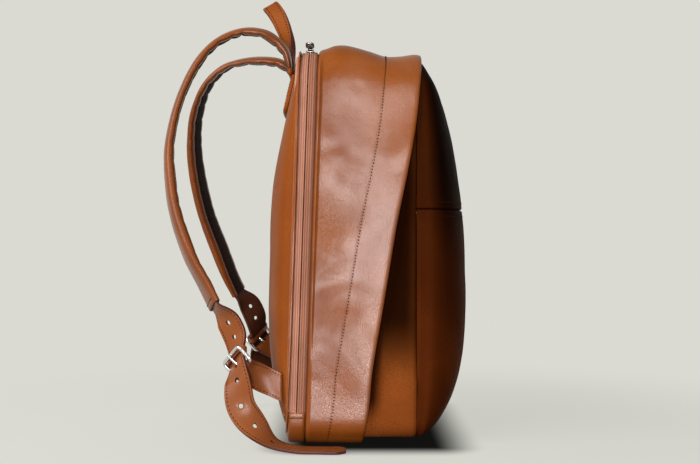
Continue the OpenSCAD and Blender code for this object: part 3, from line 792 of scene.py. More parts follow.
def frameProfile(z):  # (y, depth under the outline, share of the relief) rows round the band's section
    rear, seam, front = zipLine(z, -zipPlane["half"]) - 1.2, hoodSeam(z), freeEdge(z)
    turned = ((9, 4.3), (1.7, 4.1), (0.2, 3.4), (0, 2.6), (0.6, 1.7), (1.3, 0.9), (2.2, 0.4))
    rows = [(rear - a, deep, 0) for a, deep in turned] + [(rear - 3.2, 0.12, 0.3)]
    n = frameLeather["sideRows"]
    rows += [(rear - 4.4 + (seam + 9.4 - rear) * k / n, 0, 1) for k in range(n + 1)]
    rows += [(seam + d, 0, 1) for d in (3, 1.8, 0.9, 0, -0.9, -1.8, -3)]
    n = frameLeather["hoodRows"]
    rows += [(seam - 5 + (front + 10 - seam) * k / n, 0, 1) for k in range(n + 1)]
    t = frameLeather["thick"]
    rows += [(front + 2.6, 0.1, 1), (front + 1.1, 0.5, 1), (front + 0.2, 1.4, 1), (front, 2.4, 1)]
    rows += [(front + 0.2, t - 1.3, 1), (front + 1.2, t - 0.4, 1), (front + 3, t, 1)]
    rows += [(front + 3 + (seam + 5 - front) * k / 10, t, 1 if k < 9 else 0.4) for k in range(1, 11)]
    return rows


def makeFrame():
    columns = frameLeather["columns"]
    rowCount = len(frameProfile(0))
    around = rimStations(columns)
    profiles = [frameProfile(a[1]) for a in around]

    def place(i, j):
        x, z, nx, nz = around[i % columns]
        y, deep, free = profiles[i % columns][j % rowCount]
        return offRim(around[i % columns], y, frameRelief(x, y, z, nz) * free - deep)

    def paintShadeAt(i, j):  # painted shade: the turned rear edge is darker where it curls under towards the zip
        y, deep, free = profiles[i % columns][j % rowCount]
        return 0.3 if deep > 2 and free == 0 else 0

    bm = gridShape(columns, rowCount, place, paintShadeAt=paintShadeAt)
    makePiece(bm, "frameLeather", cognac, "shell", ("frame_band", "frame_facing"))

    def seamAt(d):
        x, z, nx, nz = rimAt(d)
        y = hoodSeam(z)
        out = frameRelief(x, y, z, nz) - frameLeather["standing"] * ease(0.3, 0.9, -nz)  # pressed in
        return offRim((x, z, nx, nz), y, out), Vector((nx, 0, nz))

    spots = rowSpots(seamAt, 0, rimLength, stitch["pitch"], 0.3)
    sewRow("hoodSeamStitches", spots, darkThread, "shell", size=stitch["coarse"])


makeFrame()
print("frame leather and hood sewn")


# gusset under the hood
gusset = {
    "columns": 300, "rows": 26, "depth": 6.0, "recess": 10.5, "groove": 2.6, "grooveWidth": 2.2, "thick": 1.6,
    "behind": 7,
}


def gussetInset(x, y, z, nz):
    seam = hoodSeam(z)
    t = clamp((seam - y) / (seam - frontSeam))
    side = 1 - max(0.0, -nz)
    hollow = gusset["recess"] * ease(48, 135, z) * side + 1.2 * side
    curve = ease(0.05, 0.45, t) * (1 - 0.12 * ease(0.5, 1.0, t))
    fold = 2.2 * ripple((x, 0.5 * y, z), 48, 5.2) * ease(0.15, 0.5, t) * (1 - ease(0.85, 1, t)) * side
    bulge = 3.0 * dip(z - 78 - 0.8 * (y + 50), 13) * side * ease(0.3, 0.6, t)  # low on the side
    groove = gusset["groove"] * dip(y - frontSeam, gusset["grooveWidth"])
    return gusset["depth"] + hollow * curve + fold - bulge + groove


def makeGusset():
    columns, rows = gusset["columns"], gusset["rows"]
    around = rimStations(columns)

    def depthAt(z, j):
        back = hoodSeam(z) + gusset["behind"]
        return back + (frontSeam + 0.4 - back) * (1 - (1 - j / rows) ** 1.5)

    def place(i, j):
        x, z, nx, nz = around[i % columns]
        y = depthAt(z, j)
        return offRim(around[i % columns], y, -gussetInset(x, y, z, nz))

    def paintShadeAt(i, j):  # painted shade of the hood: dark next to its free edge and all over higher up, a little lighter at the front seam
        z = around[i % columns][1]
        tucked = (1 - ease(1, 17, freeEdge(z) - depthAt(z, j))) * ease(18, 50, z)
        return 0.95 * max(tucked, ease(45, 135, z)) * (1 - 0.2 * ease(0.7, 1.0, j / rows))

    bm = gridShape(columns, rows, place, paintShadeAt=paintShadeAt, thick=gusset["thick"])
    makePiece(bm, "sideGusset", hoodShadedGussetHide, "shell", ("front_gusset", "hood_binding"))


makeGusset()
print("gusset set under the hood")


# swollen panels of the front and the back
frontSwell = {
    "low": 6, "high": 409, "full": 155, "depth": 61, "lower": (2.5, 0.4), "upper": (2.0, 0.5), "cross": 2.4,
    "half": 144, "lowRadius": 20, "topRadius": 32,
}
backSwell = {
    "low": 10.9, "high": 415, "full": 215, "depth": 31, "lower": (4.0, 0.9), "upper": (1.6, 0.8),
    "cross": 2.6, "half": 150, "lowRadius": 26, "topRadius": 38,
}


def halfWidth(s, z):
    low, high, half, rl, rt = s["low"], s["high"], s["half"], s["lowRadius"], s["topRadius"]
    if z < low + rl:
        return half - rl + math.sqrt(max(0, rl * rl - (low + rl - z) ** 2))
    if z > high - rt:
        return half - rt + math.sqrt(max(0, rt * rt - (z - high + rt) ** 2))
    return half


def swell(s, z):
    if z < s["full"]:
        r, (a, b) = min(1, (s["full"] - z) / (s["full"] - s["low"])), s["lower"]
    else:
        r, (a, b) = min(1, (z - s["full"]) / (s["high"] - s["full"])), s["upper"]
    return s["depth"] * max(0, 1 - r**a) ** b


def panelPoint(s, k, z):  # place across from -1 to 1 and height, before it is set in the bag
    lift = max(0, 1 - abs(k) ** s["cross"]) ** (1 / s["cross"])
    return Vector((k * halfWidth(s, z), swell(s, z) * lift, z))


def panelNormal(s, k, z):
    low, high = s["low"], s["high"]
    a = panelPoint(s, clamp(k + 0.004, -1, 1), z) - panelPoint(s, clamp(k - 0.004, -1, 1), z)
    b = panelPoint(s, k, min(z + 1, high)) - panelPoint(s, k, max(z - 1, low))
    n = b.cross(a).normalized()
    return n if n.y > -0.05 else -n


def spreadAcross(i, columns):
    return math.sin(math.pi / 2 * (2 * i / columns - 1))


frontPanels = {
    "columns": 72, "rows": 46, "mouth": 247, "gap": 0.4, "roll": 2.0, "turn": 14, "thick": 1.4, "hem": 7,
    "waves": ((1.6, 70, 9.1), (0.5, 24, 2.2)),
}


def frontPoint(k, z, deep=0.0):
    p = panelPoint(frontSwell, k, z)
    edge = 1 - abs(k)
    wave = waves(p, frontPanels["waves"])
    p += panelNormal(frontSwell, k, z) * (wave * ease(0, 0.12, edge) - deep - 3.0 * dip(edge, 0.012))
    return settle((p.x, frontSeam - p.y, p.z))


def makeFrontPanel(name, low, high, mouthAtTop, swap):
    columns, rows, roll = frontPanels["columns"], frontPanels["rows"], frontPanels["roll"]
    edge, far = (high, low) if mouthAtTop else (low, high)
    way = -1 if mouthAtTop else 1
    turned = (frontPanels["turn"], 6, roll)
    section = [(edge + way * d, 2 * roll) for d in turned]
    bends = (0.5, 1.05, 1.57, 2.1, 2.65)
    section += [(edge + way * roll * (1 - math.sin(a)), roll * (1 + math.cos(a))) for a in bends]
    start = edge + way * roll
    section += [(start + (far - start) * math.sin(math.pi / 2 * k / rows), 0) for k in range(rows + 1)]

    def place(i, j):
        z, deep = section[j]
        return frontPoint(spreadAcross(i, columns), z, deep)

    def paintShadeAt(i, j):  # painted shade: the upper part darkens towards the hood, a little less at the side edges
        k, z = spreadAcross(i, columns), section[j][0]
        return 0.96 * ease(60, 300, z) * (0.6 + 0.4 * ease(0.0, 0.1, 1 - abs(k)))

    bm = gridShape(columns, len(section) - 1, place, paintShadeAt=paintShadeAt, thick=frontPanels["thick"])
    makePiece(bm, name, shadedFrontHide, "shell", (swap,))

    hem = edge + way * frontPanels["hem"]
    half = halfWidth(frontSwell, hem)

    def hemAt(x):  # stitches that hold the turned mouth edge
        n = panelNormal(frontSwell, x / half, hem)
        return frontPoint(x / half, hem), Vector((n.x, -n.y, n.z))

    spots = rowSpots(hemAt, -0.98 * half, 0.98 * half, 2.6)
    sewRow(name + "Stitches", spots, darkThread, "shell")


mouth = frontPanels["mouth"]
makeFrontPanel("upperFrontPanel", mouth + frontPanels["gap"], frontSwell["high"], False, "front_upper_panel")
makeFrontPanel("pocketPanel", frontSwell["low"], mouth - frontPanels["gap"], True, "front_pocket_panel")
print("front panels shaped")


# linings, divider and base board inside the bag
inside = {
    "columns": 150, "rows": 20, "front": -63.5, "rear": 33, "inset": 9.4, "clear": 1.2, "floor": 11.6,
    "cloth": 0.7, "around": 0.94,
}
divider = {"columns": 40, "rows": 56, "top": 400, "y": -65.6, "thick": 1.6, "cell": 7.0}


def liningInset(x, y, z, nz):
    if y > hoodSeam(z) + gusset["behind"]:
        return inside["inset"]
    return max(inside["inset"], gussetInset(x, y, z, nz) + gusset["thick"] + inside["clear"])


def makeLining():
    columns, rows, depth = inside["columns"], inside["rows"], inside["rear"] - inside["front"]

    def place(i, j):
        x, z, nx, nz = rimAt(rimLength * i / columns)
        y = inside["front"] + depth * j / rows
        deep = liningInset(x, y, z, nz) + 0.8 * abs(ripple((x, y, z), 34, 6.6))
        return settle((x - nx * deep, y, max(z - nz * deep, inside["floor"])))

    def uvAt(i, j):
        return i * rimLength / columns, j * depth / rows

    bm = gridShape(columns, rows, place, uvAt, thick=-inside["cloth"])
    piece = makePiece(bm, "mainLining", liningWeave, "shell", ("main_lining",))


def makeDivider():
    columns, rows, cell, y = (divider[k] for k in ("columns", "rows", "cell", "y"))

    def place(i, j):
        z = inside["floor"] + (divider["top"] - inside["floor"]) * j / rows
        edge = gussetInset(-outline["halfWidth"], y, z, 0) + gusset["thick"]
        edge += inside["clear"] - gusset["depth"]
        x, k = halfWidth(frontSwell, z), 2 * i / columns - 1
        return settle((k * (x - edge), y + 0.8 * ripple((x * k, 0, z), 60, 3.3) * (1 - k * k), z))

    bm = gridShape(columns, rows, place, lambda i, j: (i * cell, j * cell), thick=divider["thick"])
    makePiece(bm, "dividerCloth", liningWeave, "shell", ("divider_wall",))


def makeBoard():
    bm = roundedBlock(*boxOf("base_board"), 0.9)
    makePiece(bm, "baseBoard", shadedFrontHide, "shell", ("base_board",))


makeLining()
makeDivider()
makeBoard()
print("lining, divider and base board in place")


# back panel
backPad = {
    "columns": 96, "rows": 90, "stitchIn": 2.7, "thick": 2.2, "lining": 9.2, "hemRadius": 3.6, "glossy": 2.6,
    "waves": ((1.2, 75, 4.4), (0.3, 26, 8.8)), "cell": (3.4, 4.6), "cloth": 0.6, "fill": 0.7,
}


def backWave(p):
    return waves(p, backPad["waves"]) + 4.5 * dip(p.z - 300, 75)


def backPoint(k, z):
    p = panelPoint(backSwell, k, z)
    fromEdge = p.y  # how far behind the sewn edge
    pucker = 0.28 * math.sin(p.z * 0.9 + 2 * ripple(p, 30, 1.1)) * math.exp(-fromEdge / 5)
    groove = 1.1 * dip(fromEdge - backPad["stitchIn"] - 0.6, 1.0)
    handled = ease(378, 394, p.z) * (1 - ease(34, 58, abs(p.x)))  # flat under the handle
    roll = (1.9 - 2.3 * handled) * dip(fromEdge - 0.8, 1.3)
    out = backWave(p) * ease(6, 40, fromEdge) + pucker + roll - groove
    p += panelNormal(backSwell, k, z) * out
    return inZipPlane((p.x, p.y + zipPlane["half"], p.z))


def turnOut(n):  # normal of the back panel from the zip plane's frame into the bag
    return inZipPlane(n) - inZipPlane((0, 0, 0))


def backSpot(d, behind):  # surface place a given distance behind the sewn edge
    x, z, nx, nz = rimAt(d)

    def surface(q):
        return (x - nx * q) / halfWidth(backSwell, z - nz * q), z - nz * q

    low, high = 0.0, 26.0
    for _ in range(24):
        q = (low + high) / 2
        k, at = surface(q)
        if panelPoint(backSwell, clamp(k, -1, 1), at).y < behind:
            low = q
        else:
            high = q
    k, at = surface(high)
    return clamp(k, -1, 1), at


def makeBack():
    columns, rows = backPad["columns"], backPad["rows"]
    low, high = backSwell["low"], backSwell["high"]

    def heightAt(j):
        return low + (high - low) * (1 - math.cos(math.pi * j / rows)) / 2

    def uvAt(i, j):
        return i * backPad["cell"][0], j * backPad["cell"][1]

    def place(i, j):
        return backPoint(spreadAcross(i, columns), heightAt(j))

    bm = gridShape(columns, rows, place, uvAt, thick=backPad["thick"])
    for f in bm.faces:  # the roll beside the zip is glossy
        middle = f.calc_center_median()
        f.material_index = int(middle.y < zipLine(middle.z, zipPlane["half"] + backPad["glossy"]))
    piece = makePiece(bm, "backPad", [backHide, cognac], "back_panel", ("back_panel", "back_foam"))

    def liningPlace(i, j):  # inside the panel, flat where it meets the sewn edge
        middle = (low + high) / 2
        p = panelPoint(backSwell, spreadAcross(i, columns), heightAt(j))
        y = max(p.y - backPad["lining"], 0.9)
        return inZipPlane((0.972 * p.x, y + zipPlane["half"], middle + 0.98 * (p.z - middle)))

    bm = gridShape(columns, rows, liningPlace, uvAt, thick=backPad["cloth"])
    makePiece(bm, "backLining", liningWeave, "back_panel", ("back_lining",))

    def edgeAt(d):
        k, z = backSpot(d, backPad["stitchIn"])
        return backPoint(k, z), turnOut(panelNormal(backSwell, k, z))

    start = rimHeight(40)
    spots = rowSpots(edgeAt, start, rimLength - start, 2.4, 0.25)
    sewRow("backEdgeStitches", spots, tanThread, "back_panel")


def makeHem():
    r = backPad["hemRadius"]
    points = barPoints("back_hem_roll", r)
    last = len(points) - 1

    def radiusAt(k):  # thinner at its ends
        return (r - 0.25 + 0.25 * ripple(points[k], 17, 2.5)) * (0.35 + 0.65 * ease(0, 4, min(k, last - k)))

    bm = tubeAlong(points, radiusAt, 16, (0, 0, 1))
    makePiece(bm, "backHem", cognac, "back_panel", ("back_hem_roll",))
    y, z = points[0].y + 2.4, points[0].z + 2.2

    def hemAt(x):
        return Vector((x, y, z)), Vector((0, 0.7, 0.7))

    spots = rowSpots(hemAt, points[0].x + 2.4, points[-1].x - 2.4, 3.0)
    sewRow("backHemStitches", spots, tanThread, "back_panel")


makeBack()
makeHem()
print("back panel padded and hemmed")


# zip: two woven tapes, the coil under them and the leather strip that closes its lower ends
zipper = {
    "columns": 320, "toothPitch": 1.7, "tooth": (0.62, 1.15, 0.7), "toothOff": 1.35, "toothIn": 2.9,
    "sway": 0.12, "thick": 0.5,
    "section": (  # distance from the middle, depth under the outline
        (14, 5.4), (11.4, 5.2), (9.6, 4.6), (8.6, 3.2), (7.9, 2.0), (7.1, 1.2), (6.4, 1.5), (5.7, 0.95),
        (5.0, 1.3), (4.3, 0.85), (3.6, 1.2), (2.9, 0.7), (2.2, 1.0), (1.5, 0.7), (0.9, 0.9), (0.5, 1.4),
        (0.25, 2.1), (0.2, 2.9),
    ),
}
zipStart = rimHeight(zipPlane["end"])
zipRun = rimLength - 2 * zipStart


def zipPoint(d, off, inset):
    x, z, nx, nz = rimAt(d)
    return offRim((x, z, nx, nz), zipLine(z, off), -inset), Vector((nx, 0, nz))


def makeTape(name, side, body, look, tape, coil):
    section, columns = zipper["section"], zipper["columns"]

    def place(i, j):
        off, inset = section[j]
        sway = zipper["sway"] * math.sin(i * 0.9) if 1.5 < off < 8 else 0
        return zipPoint(zipStart - 4 + (zipRun + 8) * i / columns, side * off, inset + sway)[0]

    def uvAt(i, j):
        return i * zipRun / columns, section[j][0]

    bm = gridShape(columns, len(section) - 1, place, uvAt, thick=zipper["thick"])
    makePiece(bm, name, look, body, (tape,))
    shift = 0 if side < 0 else zipper["toothPitch"] / 2

    def toothAt(d):
        return zipPoint(d + shift, side * zipper["toothOff"], zipper["toothIn"])

    spots = rowSpots(toothAt, zipStart, zipStart + zipRun, zipper["toothPitch"])
    piece = sewRow(name + "Coil", spots, coilNylon, body, zipper["tooth"])
    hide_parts(coil)


makeTape("zipTapeFront", -1, "shell", shadedTape, "zip_tape_front", "zip_coil_front")
makeTape("zipTapeRear", 1, "back_panel", tapeWeave, "zip_tape_rear", "zip_coil_rear")

heelStrip = {"columns": 120, "half": 8.3, "rise": 0.5, "thick": 2.6, "fold": 3.4, "stitchBelow": 3.0}


def makeHeelStrip():
    end = rimHeight(zipPlane["end"] + 1)
    half, thick = heelStrip["half"], heelStrip["thick"]
    edge = [(half + 4, 5.6), (half + 4, 5.1), (half + 0.6, 4.6), (half, thick - 1.0), (half - 0.5, 0.9)]
    edge.append((half - 1.6, 0.4))
    section = [(-a, b) for a, b in edge] + [(half * q, 0.25) for q in (-0.6, -0.3, 0, 0.3, 0.6)]
    section += reversed(edge[2:])
    section.append((half - 2.5, thick + 1.6))
    n, columns = len(section), heelStrip["columns"]

    def place(i, j):
        d = -end + 2 * end * i / columns
        x, z, nx, nz = rimAt(d)
        off, inset = section[j % n]
        tuck = end - abs(d)
        folded = heelStrip["rise"] * (1 - ease(heelStrip["fold"] - 0.6, heelStrip["fold"], tuck))
        level = max(0.15, inset + heelStrip["rise"] - folded + 1.2 * (1 - ease(0, 1.2, tuck)))
        flare = 1 + 0.05 * (1 - ease(0, 10, tuck))
        return Vector((x - nx * level, zipLine(z, off * flare), z - nz * level))

    bm = gridShape(columns, n, place)
    bmesh.ops.holes_fill(bm, edges=[e for e in bm.edges if e.is_boundary], sides=0)
    bmesh.ops.recalc_face_normals(bm, faces=bm.faces)
    makePiece(bm, "heelStrip", cognac, "shell", ("heel_strip",))
    spots = []
    for side in (-1, 1):
        d = side * (end - heelStrip["stitchBelow"] - heelStrip["fold"])
        spots += rowSpots(lambda off: zipPoint(d, off, 0.7), -half + 1.6, half - 1.6, 2.2)
    sewRow("heelStripStitches", spots, darkThread, "shell")


makeHeelStrip()
print("zip and heel strip fitted")


# yoke that carries the straps and the handle
yoke = {
    "half": 93, "low": 351.5, "high": 393, "corner": 13, "columns": 60, "rows": 16, "thick": 4.4,
    "clear": 0.35, "stitchIn": 3.4,
}


def yokePoint(x, z, off):
    k = x / halfWidth(backSwell, z)
    p = panelPoint(backSwell, k, z)
    n = panelNormal(backSwell, k, z)
    p += n * (max(backWave(p), 0) * ease(6, 40, p.y) + off)
    return inZipPlane((p.x, p.y + zipPlane["half"], p.z)), turnOut(n)


def yokeFloor(x, inset=0.0):  # lower edge with its rounded corners
    half, r = yoke["half"] - inset, yoke["corner"]
    dx = max(0.0, abs(x) - (half - r))
    return yoke["low"] + inset + r - math.sqrt(max(0.0, r * r - dx * dx))


def makeYoke():
    columns, rows = yoke["columns"], yoke["rows"]

    def place(i, j):
        x = yoke["half"] * spreadAcross(i, columns)
        low = yokeFloor(x)
        return yokePoint(x, low + (yoke["high"] - low) * j / rows, yoke["clear"])[0]

    bm = gridShape(columns, rows, place)
    if sum(f.normal.y for f in bm.faces) < 0:
        bmesh.ops.reverse_faces(bm, faces=bm.faces)
    thicken(bm, -yoke["thick"])
    bmesh.ops.recalc_face_normals(bm, faces=bm.faces)
    sharp = [e for e in bm.edges if len(e.link_faces) == 2 and e.calc_face_angle(0) > 0.9]
    roundEdges(bm, sharp, 1.3, 3)
    makePiece(bm, "yokePatch", backHide, "back_panel", ("yoke_patch",))
    inset, lift = yoke["stitchIn"], yoke["clear"] + yoke["thick"]
    half, r = yoke["half"] - inset, yoke["corner"]
    spots = rowSpots(lambda x: yokePoint(x, yokeFloor(x, inset), lift), -half + 0.3, half - 0.3, 3.0)
    low, high = yoke["low"] + inset + r, yoke["high"] - 4
    for side in (-1, 1):
        spots += rowSpots(lambda z: yokePoint(side * half, z, lift), low, high, 3.0)
    spots += rowSpots(lambda x: yokePoint(x, yoke["high"] - 5, lift), -half, half, 3.0)
    sewRow("yokeStitches", spots, darkThread, "back_panel")


def makeYokeBinding():
    low, high = boxOf("yoke_binding")
    r = (high.z - low.z) / 2
    points = barPoints("yoke_binding", r)
    bm = tubeAlong(points, lambda k: r - 0.3 + 0.3 * ripple(points[k], 13, 4.1), 18, (0, 0, 1))
    for v in bm.verts:  # pressed flat
        v.co.y = points[0].y + 0.66 * (v.co.y - points[0].y)
    makePiece(bm, "yokeBinding", backHide, "back_panel", ("yoke_binding",))


makeYoke()
makeYokeBinding()
print("yoke sewn on")


# carry handle, a flat strip that turns over at its top
handle = {
    "half": 9, "thick": 4, "hinge": (0, 66, 404.5),
    "path": (  # from the hinge line: place, width direction
        (-24, 0, 0, 1, 0, 0), (-24.5, 2, 20.5, 1, 0.15, 0), (-24, 7, 43.5, 0.7, 0.75, -0.3),
        (-18, 16, 65.5, 0.25, 0.95, -0.5), (-8, 24, 77.5, 0, 0.86, -0.5), (0, 26.5, 79.5, 0, 0.86, -0.5),
    ),
}


def makeHandle():
    first = [list(row) for row in handle["path"]]
    other = [[-r[0], r[1], r[2], -r[3], r[4], r[5]] for r in reversed(first[:-1])]
    rows = [[a + b for a, b in zip(r[:3], handle["hinge"])] + r[3:] for r in first + other]
    at, reach = layRoute(rows)
    half, thick, bend = handle["half"], handle["thick"], routeBend(at)
    bm = flatStrip(half, thick, reach[-1], bend)
    makePiece(bm, "carryHandle", [backHide, paintedEdge], "handle", ("carry_handle",))
    spots = stripSpots(bend, half, thick, 4, reach[-1] - 4)
    sewRow("carryHandleStitches", spots, darkThread, "handle")


makeHandle()
print("carry handle bent")


# padded straps
padShape = {
    "ring": 40, "step": 2.4, "pucker": 3.6, "puckerPitch": 18.0, "seam": 0.5, "seamAt": -0.88,
    "mouth": (31, 4.4), "fill": 0.85,
}
padGirth = (  # width and thickness along both pads
    (26, 4.6), (31, 9.5), (36, 12), (42, 10.5), (42, 9), (42, 9), (42, 9.5),
    (42, 10), (42, 11), (42, 12), (42, 12.5), (42, 12.5), (38, 10.5), (35, 8.4),
)
padRoutes = {  # place, and how far the width direction turns from X to Y and to Z
    "left": (
        (-62, 67, 403.4, 0, 0), (-62, 71, 420, 0, 0.06), (-62, 82, 434, 0, 0.12), (-64, 98, 443, 0.01, 0.14),
        (-67, 122, 443, 0.04, 0.14), (-73, 149, 429, 0.08, 0.11), (-80, 170, 402, 0.12, 0.07),
        (-88, 187, 361, 0.15, 0.03), (-97, 195, 317, 0.17, 0), (-105, 193, 279, 0.19, 0),
        (-112, 186, 241, 0.24, 0), (-122, 170, 198, 0.3, 0), (-130, 153, 167, 0.4, 0),
        (-136, 142, 146, 0.46, 0),
    ),
    "right": (
        (62, 67, 403.4, 0, 0), (62, 72, 417, 0, 0.06), (62, 86, 427, 0, 0.12), (62, 109, 430, 0.01, 0.14),
        (64, 133, 428, 0.03, 0.14), (68, 155, 420, 0.02, 0.08), (75, 176, 399, -0.03, 0),
        (85, 189, 367, -0.12, -0.03), (95, 193, 330, -0.19, 0), (105, 190, 290, -0.25, 0),
        (115, 180, 244, -0.3, 0), (126, 162, 193, -0.34, 0), (131, 152, 167, -0.4, 0),
        (136, 142, 146, -0.46, 0),
    ),
}


def soft(value, power):
    return math.copysign(abs(value) ** power, value)


def makePad(side, seed):
    name, body, swaps = side + "Pad", side + "_strap", (side + "_strap_cover", side + "_strap_foam")
    rows = [(*row[:3], 1, *row[3:], *girth) for row, girth in zip(padRoutes[side], padGirth)]
    at, reach = layRoute(rows)
    length, ring = reach[-1], padShape["ring"]
    columns = round(length / padShape["step"])
    # distance along, share of the belt's mouth, shrink
    stations = [(-1.5, 0, 0.0), (-1.5, 0, 0.45), (-1.2, 0, 0.8)]
    stations += [(length * k / columns, 0, 1) for k in range(columns + 1)]
    stations += [(length + 0.5, 0.1, 1), (length + 0.8, 0.3, 1), (length + 0.7, 0.65, 1), (length, 1, 1)]
    stations += [(length - 7, 1, 1), (length - 7, 1, 0.0)]

    def bendAt(s):
        return (at(s + 7)[1] - at(s - 7)[1]).length / 14

    bends = [clamp(bendAt(clamp(s, 8, length - 8)) / 0.016, 0.12, 1.0) for s, mix, shrink in stations]

    def pucker(i, a):  # creases on the side of the bend that is pressed together
        s = stations[i][0]
        phase = s / padShape["puckerPitch"] + 0.45 * ripple((s, 0, 0), 17, seed)
        gap = (phase - round(phase)) * padShape["puckerPitch"]
        inner = ease(-0.35, 0.8, -math.sin(a) + 0.25 * ripple((s, 5 * math.cos(a), 0), 9, seed + 2))
        share = bends[i] * inner * (0.65 + 0.5 * ripple((s, 9, 0), 12, seed + 5))
        return share * math.exp(-abs(gap) / 2.8), share

    def place(i, j):
        s, mix, shrink = stations[i]
        a = 2 * math.pi * j / ring
        centre, run, across, facing, (w, t) = at(s)
        u, v = soft(math.cos(a), 0.62) * w / 2, soft(math.sin(a), 0.82) * t / 2
        mw, mt = padShape["mouth"]
        u += (soft(math.cos(a), 0.3) * mw / 2 - u) * mix
        v += (soft(math.sin(a), 0.5) * mt / 2 - v) * mix
        p = centre + (across * u + facing * v) * shrink
        if mix or shrink < 1:
            return p
        out = (across * math.cos(a) * t + facing * math.sin(a) * w).normalized()
        crease, share = pucker(i, a)
        lumps = waves(p, ((0.5, 40, seed), (0.2, 13, seed + 1)))
        seam = padShape["seam"] * dip(math.sin(a) - padShape["seamAt"], 0.1)
        return p + out * (lumps + 0.35 * share - padShape["pucker"] * crease - seam)

    # painted shade in the puckers and along the inner seam; the tucked and closed ends are half dark
    def paintShadeAt(i, j):
        a = 2 * math.pi * (j % ring) / ring
        if stations[i][1] or stations[i][2] < 1:
            return 0.5
        return 0.8 * pucker(i, a)[0] + 0.5 * dip(math.sin(a) - padShape["seamAt"], 0.1)

    bm = gridShape(len(stations) - 1, ring, place, paintShadeAt=paintShadeAt)
    uv = bm.loops.layers.uv.verify()
    for f in bm.faces:  # painted shade: the faces towards the wearer get the near-black inner leather
        turn = sum(loop[uv].uv.y for loop in f.loops) / len(f.loops)
        f.material_index = int(math.sin(2 * math.pi * turn) < padShape["seamAt"])
    piece = makePiece(bm, name, [padHide, shadedPadInner], body, swaps)

    def endAt(q):  # stitches across the flat end
        centre, run, across, facing, (w, t) = at(length - 5)
        return centre + across * q + facing * (t / 2 + 0.05), facing

    spots = rowSpots(endAt, -13, 13, 3.0)
    sewRow(name + "Stitches", spots, darkThread, body)


makePad("left", 1.7)
makePad("right", 6.2)
print("strap pads stuffed")


# buckle, belt and anchor strap of the -X side; the other side is its mirror
barDir = Vector((0.655, 0.49, -0.574)).normalized()
shortDir = Vector((-0.14, -0.67, -0.73))
shortDir = (shortDir - barDir * shortDir.dot(barDir)).normalized()
outDir = barDir.cross(shortDir)
beltDown = (shortDir + outDir).normalized()
beltFace = barDir.cross(beltDown)
buckle = {
    "at": Vector((-150, 117, 88)), "length": 20, "half": 18, "wire": 2.0, "corner": 4.2, "prong": 1.5,
    "curl": 0.85, "arch": 0.36,
}
heelAt = buckle["at"] + shortDir * buckle["length"] / 2
belt = {
    "half": 15, "thick": 3.2, "hole": 5.0, "slot": (9.6, 4.0), "slotShift": 3.3, "tailZ": 2.0, "tip": 0.45,
    "holeRows": (3, 4, 7, 8, 9, 10),
}
sides = ("left", "right")


def sidePiece(bm, side, label, looks, body, node=None):
    swaps = (side + node,) if node else ()
    makePiece(bm, side + label, looks, side + body, swaps, mirrored=side == "right")


def sewSide(side, label, spots):
    sewRow(side + label, spots, darkThread, side + "_strap", mirrored=side == "right")


def beltRows():  # place, width direction and share of the width
    at, z = buckle["at"], belt["tailZ"]
    above, below = at - beltDown * 11, at + beltDown * 22
    rows = [
        (-133.4, 147, 156, 1, 0.44, 0), (-136, 142, 146, 1, 0.46, 0), (-136.6, 134, 137.5, 0.75, 0.66, -0.1),
        (-137.2, 127, 128, 0.5, 0.84, -0.22), (-137.5, 120.5, 113, 0.5, 0.72, -0.45), (*above, *barDir),
        (*at, *barDir), (*below, 0.3, 0.78, -0.55), (-168, 111.5, 45, 0, 1, -0.25),
        (-171, 97, 25, -0.4, 0.8, 0), (-175, 79, 8.5, -0.9, 0.4, 0), (-179, 54, z + 0.6, -1, 0.2, 0),
        (-181, 30, z, -1, 0.1, 0), (-182, 12, z, -1, 0, 0), (-182, 4, z, -1, 0, 0),
    ]
    return [(*row, 1) for row in rows[:-1]] + [(*rows[-1], belt["tip"])]


def makeBelts():
    at, reach = layRoute(beltRows())
    half, thick, length, bend = belt["half"], belt["thick"], reach[-1], routeBend(at)
    slot = reach[6] + belt["slotShift"]
    holes = [(reach[k], belt["hole"], belt["hole"]) for k in belt["holeRows"]] + [(slot, *belt["slot"])]
    holes.sort()
    spots = stripSpots(bend, half, thick, reach[1] + 3, length - 9)
    for side in sides:
        bm = flatStrip(half, thick, length, bend, holes, 2)
        sidePiece(bm, side, "Belt", [strapHide, paintedEdge, shadedStripUnderside], "_strap", "_belt")
        sewSide(side, "BeltStitches", spots)


keeper = {"half": 3.4, "thick": 2.0, "along": -6.9, "over": 3.4, "reach": 17.4, "under": -3.0}


def makeKeepers():
    x, up, low = keeper["reach"], keeper["over"], keeper["under"]
    centre = buckle["at"] + beltDown * keeper["along"]
    loop = [(0, low), (-x + 4, low), (-x + 0.8, low + 0.8), (-x, 0), (-x + 0.8, up - 0.7), (-x + 4, up)]
    loop += [(0, up + 0.3)] + [(-a, b) for a, b in reversed(loop[1:])] + [(0, low)]
    rows = [(*(centre + barDir * a + beltFace * b), *beltDown) for a, b in loop]
    at, reach = layRoute(rows)
    for side in sides:
        bm = flatStrip(keeper["half"], keeper["thick"], reach[-1], routeBend(at))
        sidePiece(bm, side, "Keeper", [strapHide, paintedEdge], "_strap")


anchor = {
    "half": 15, "ply": 2.0, "spread": 1.08, "wrap": 3.25, "flare": 10, "seat": (-149.8, 71.6, 62),
    "tuck": 1.6, "window": (13.0, 6.4),
}


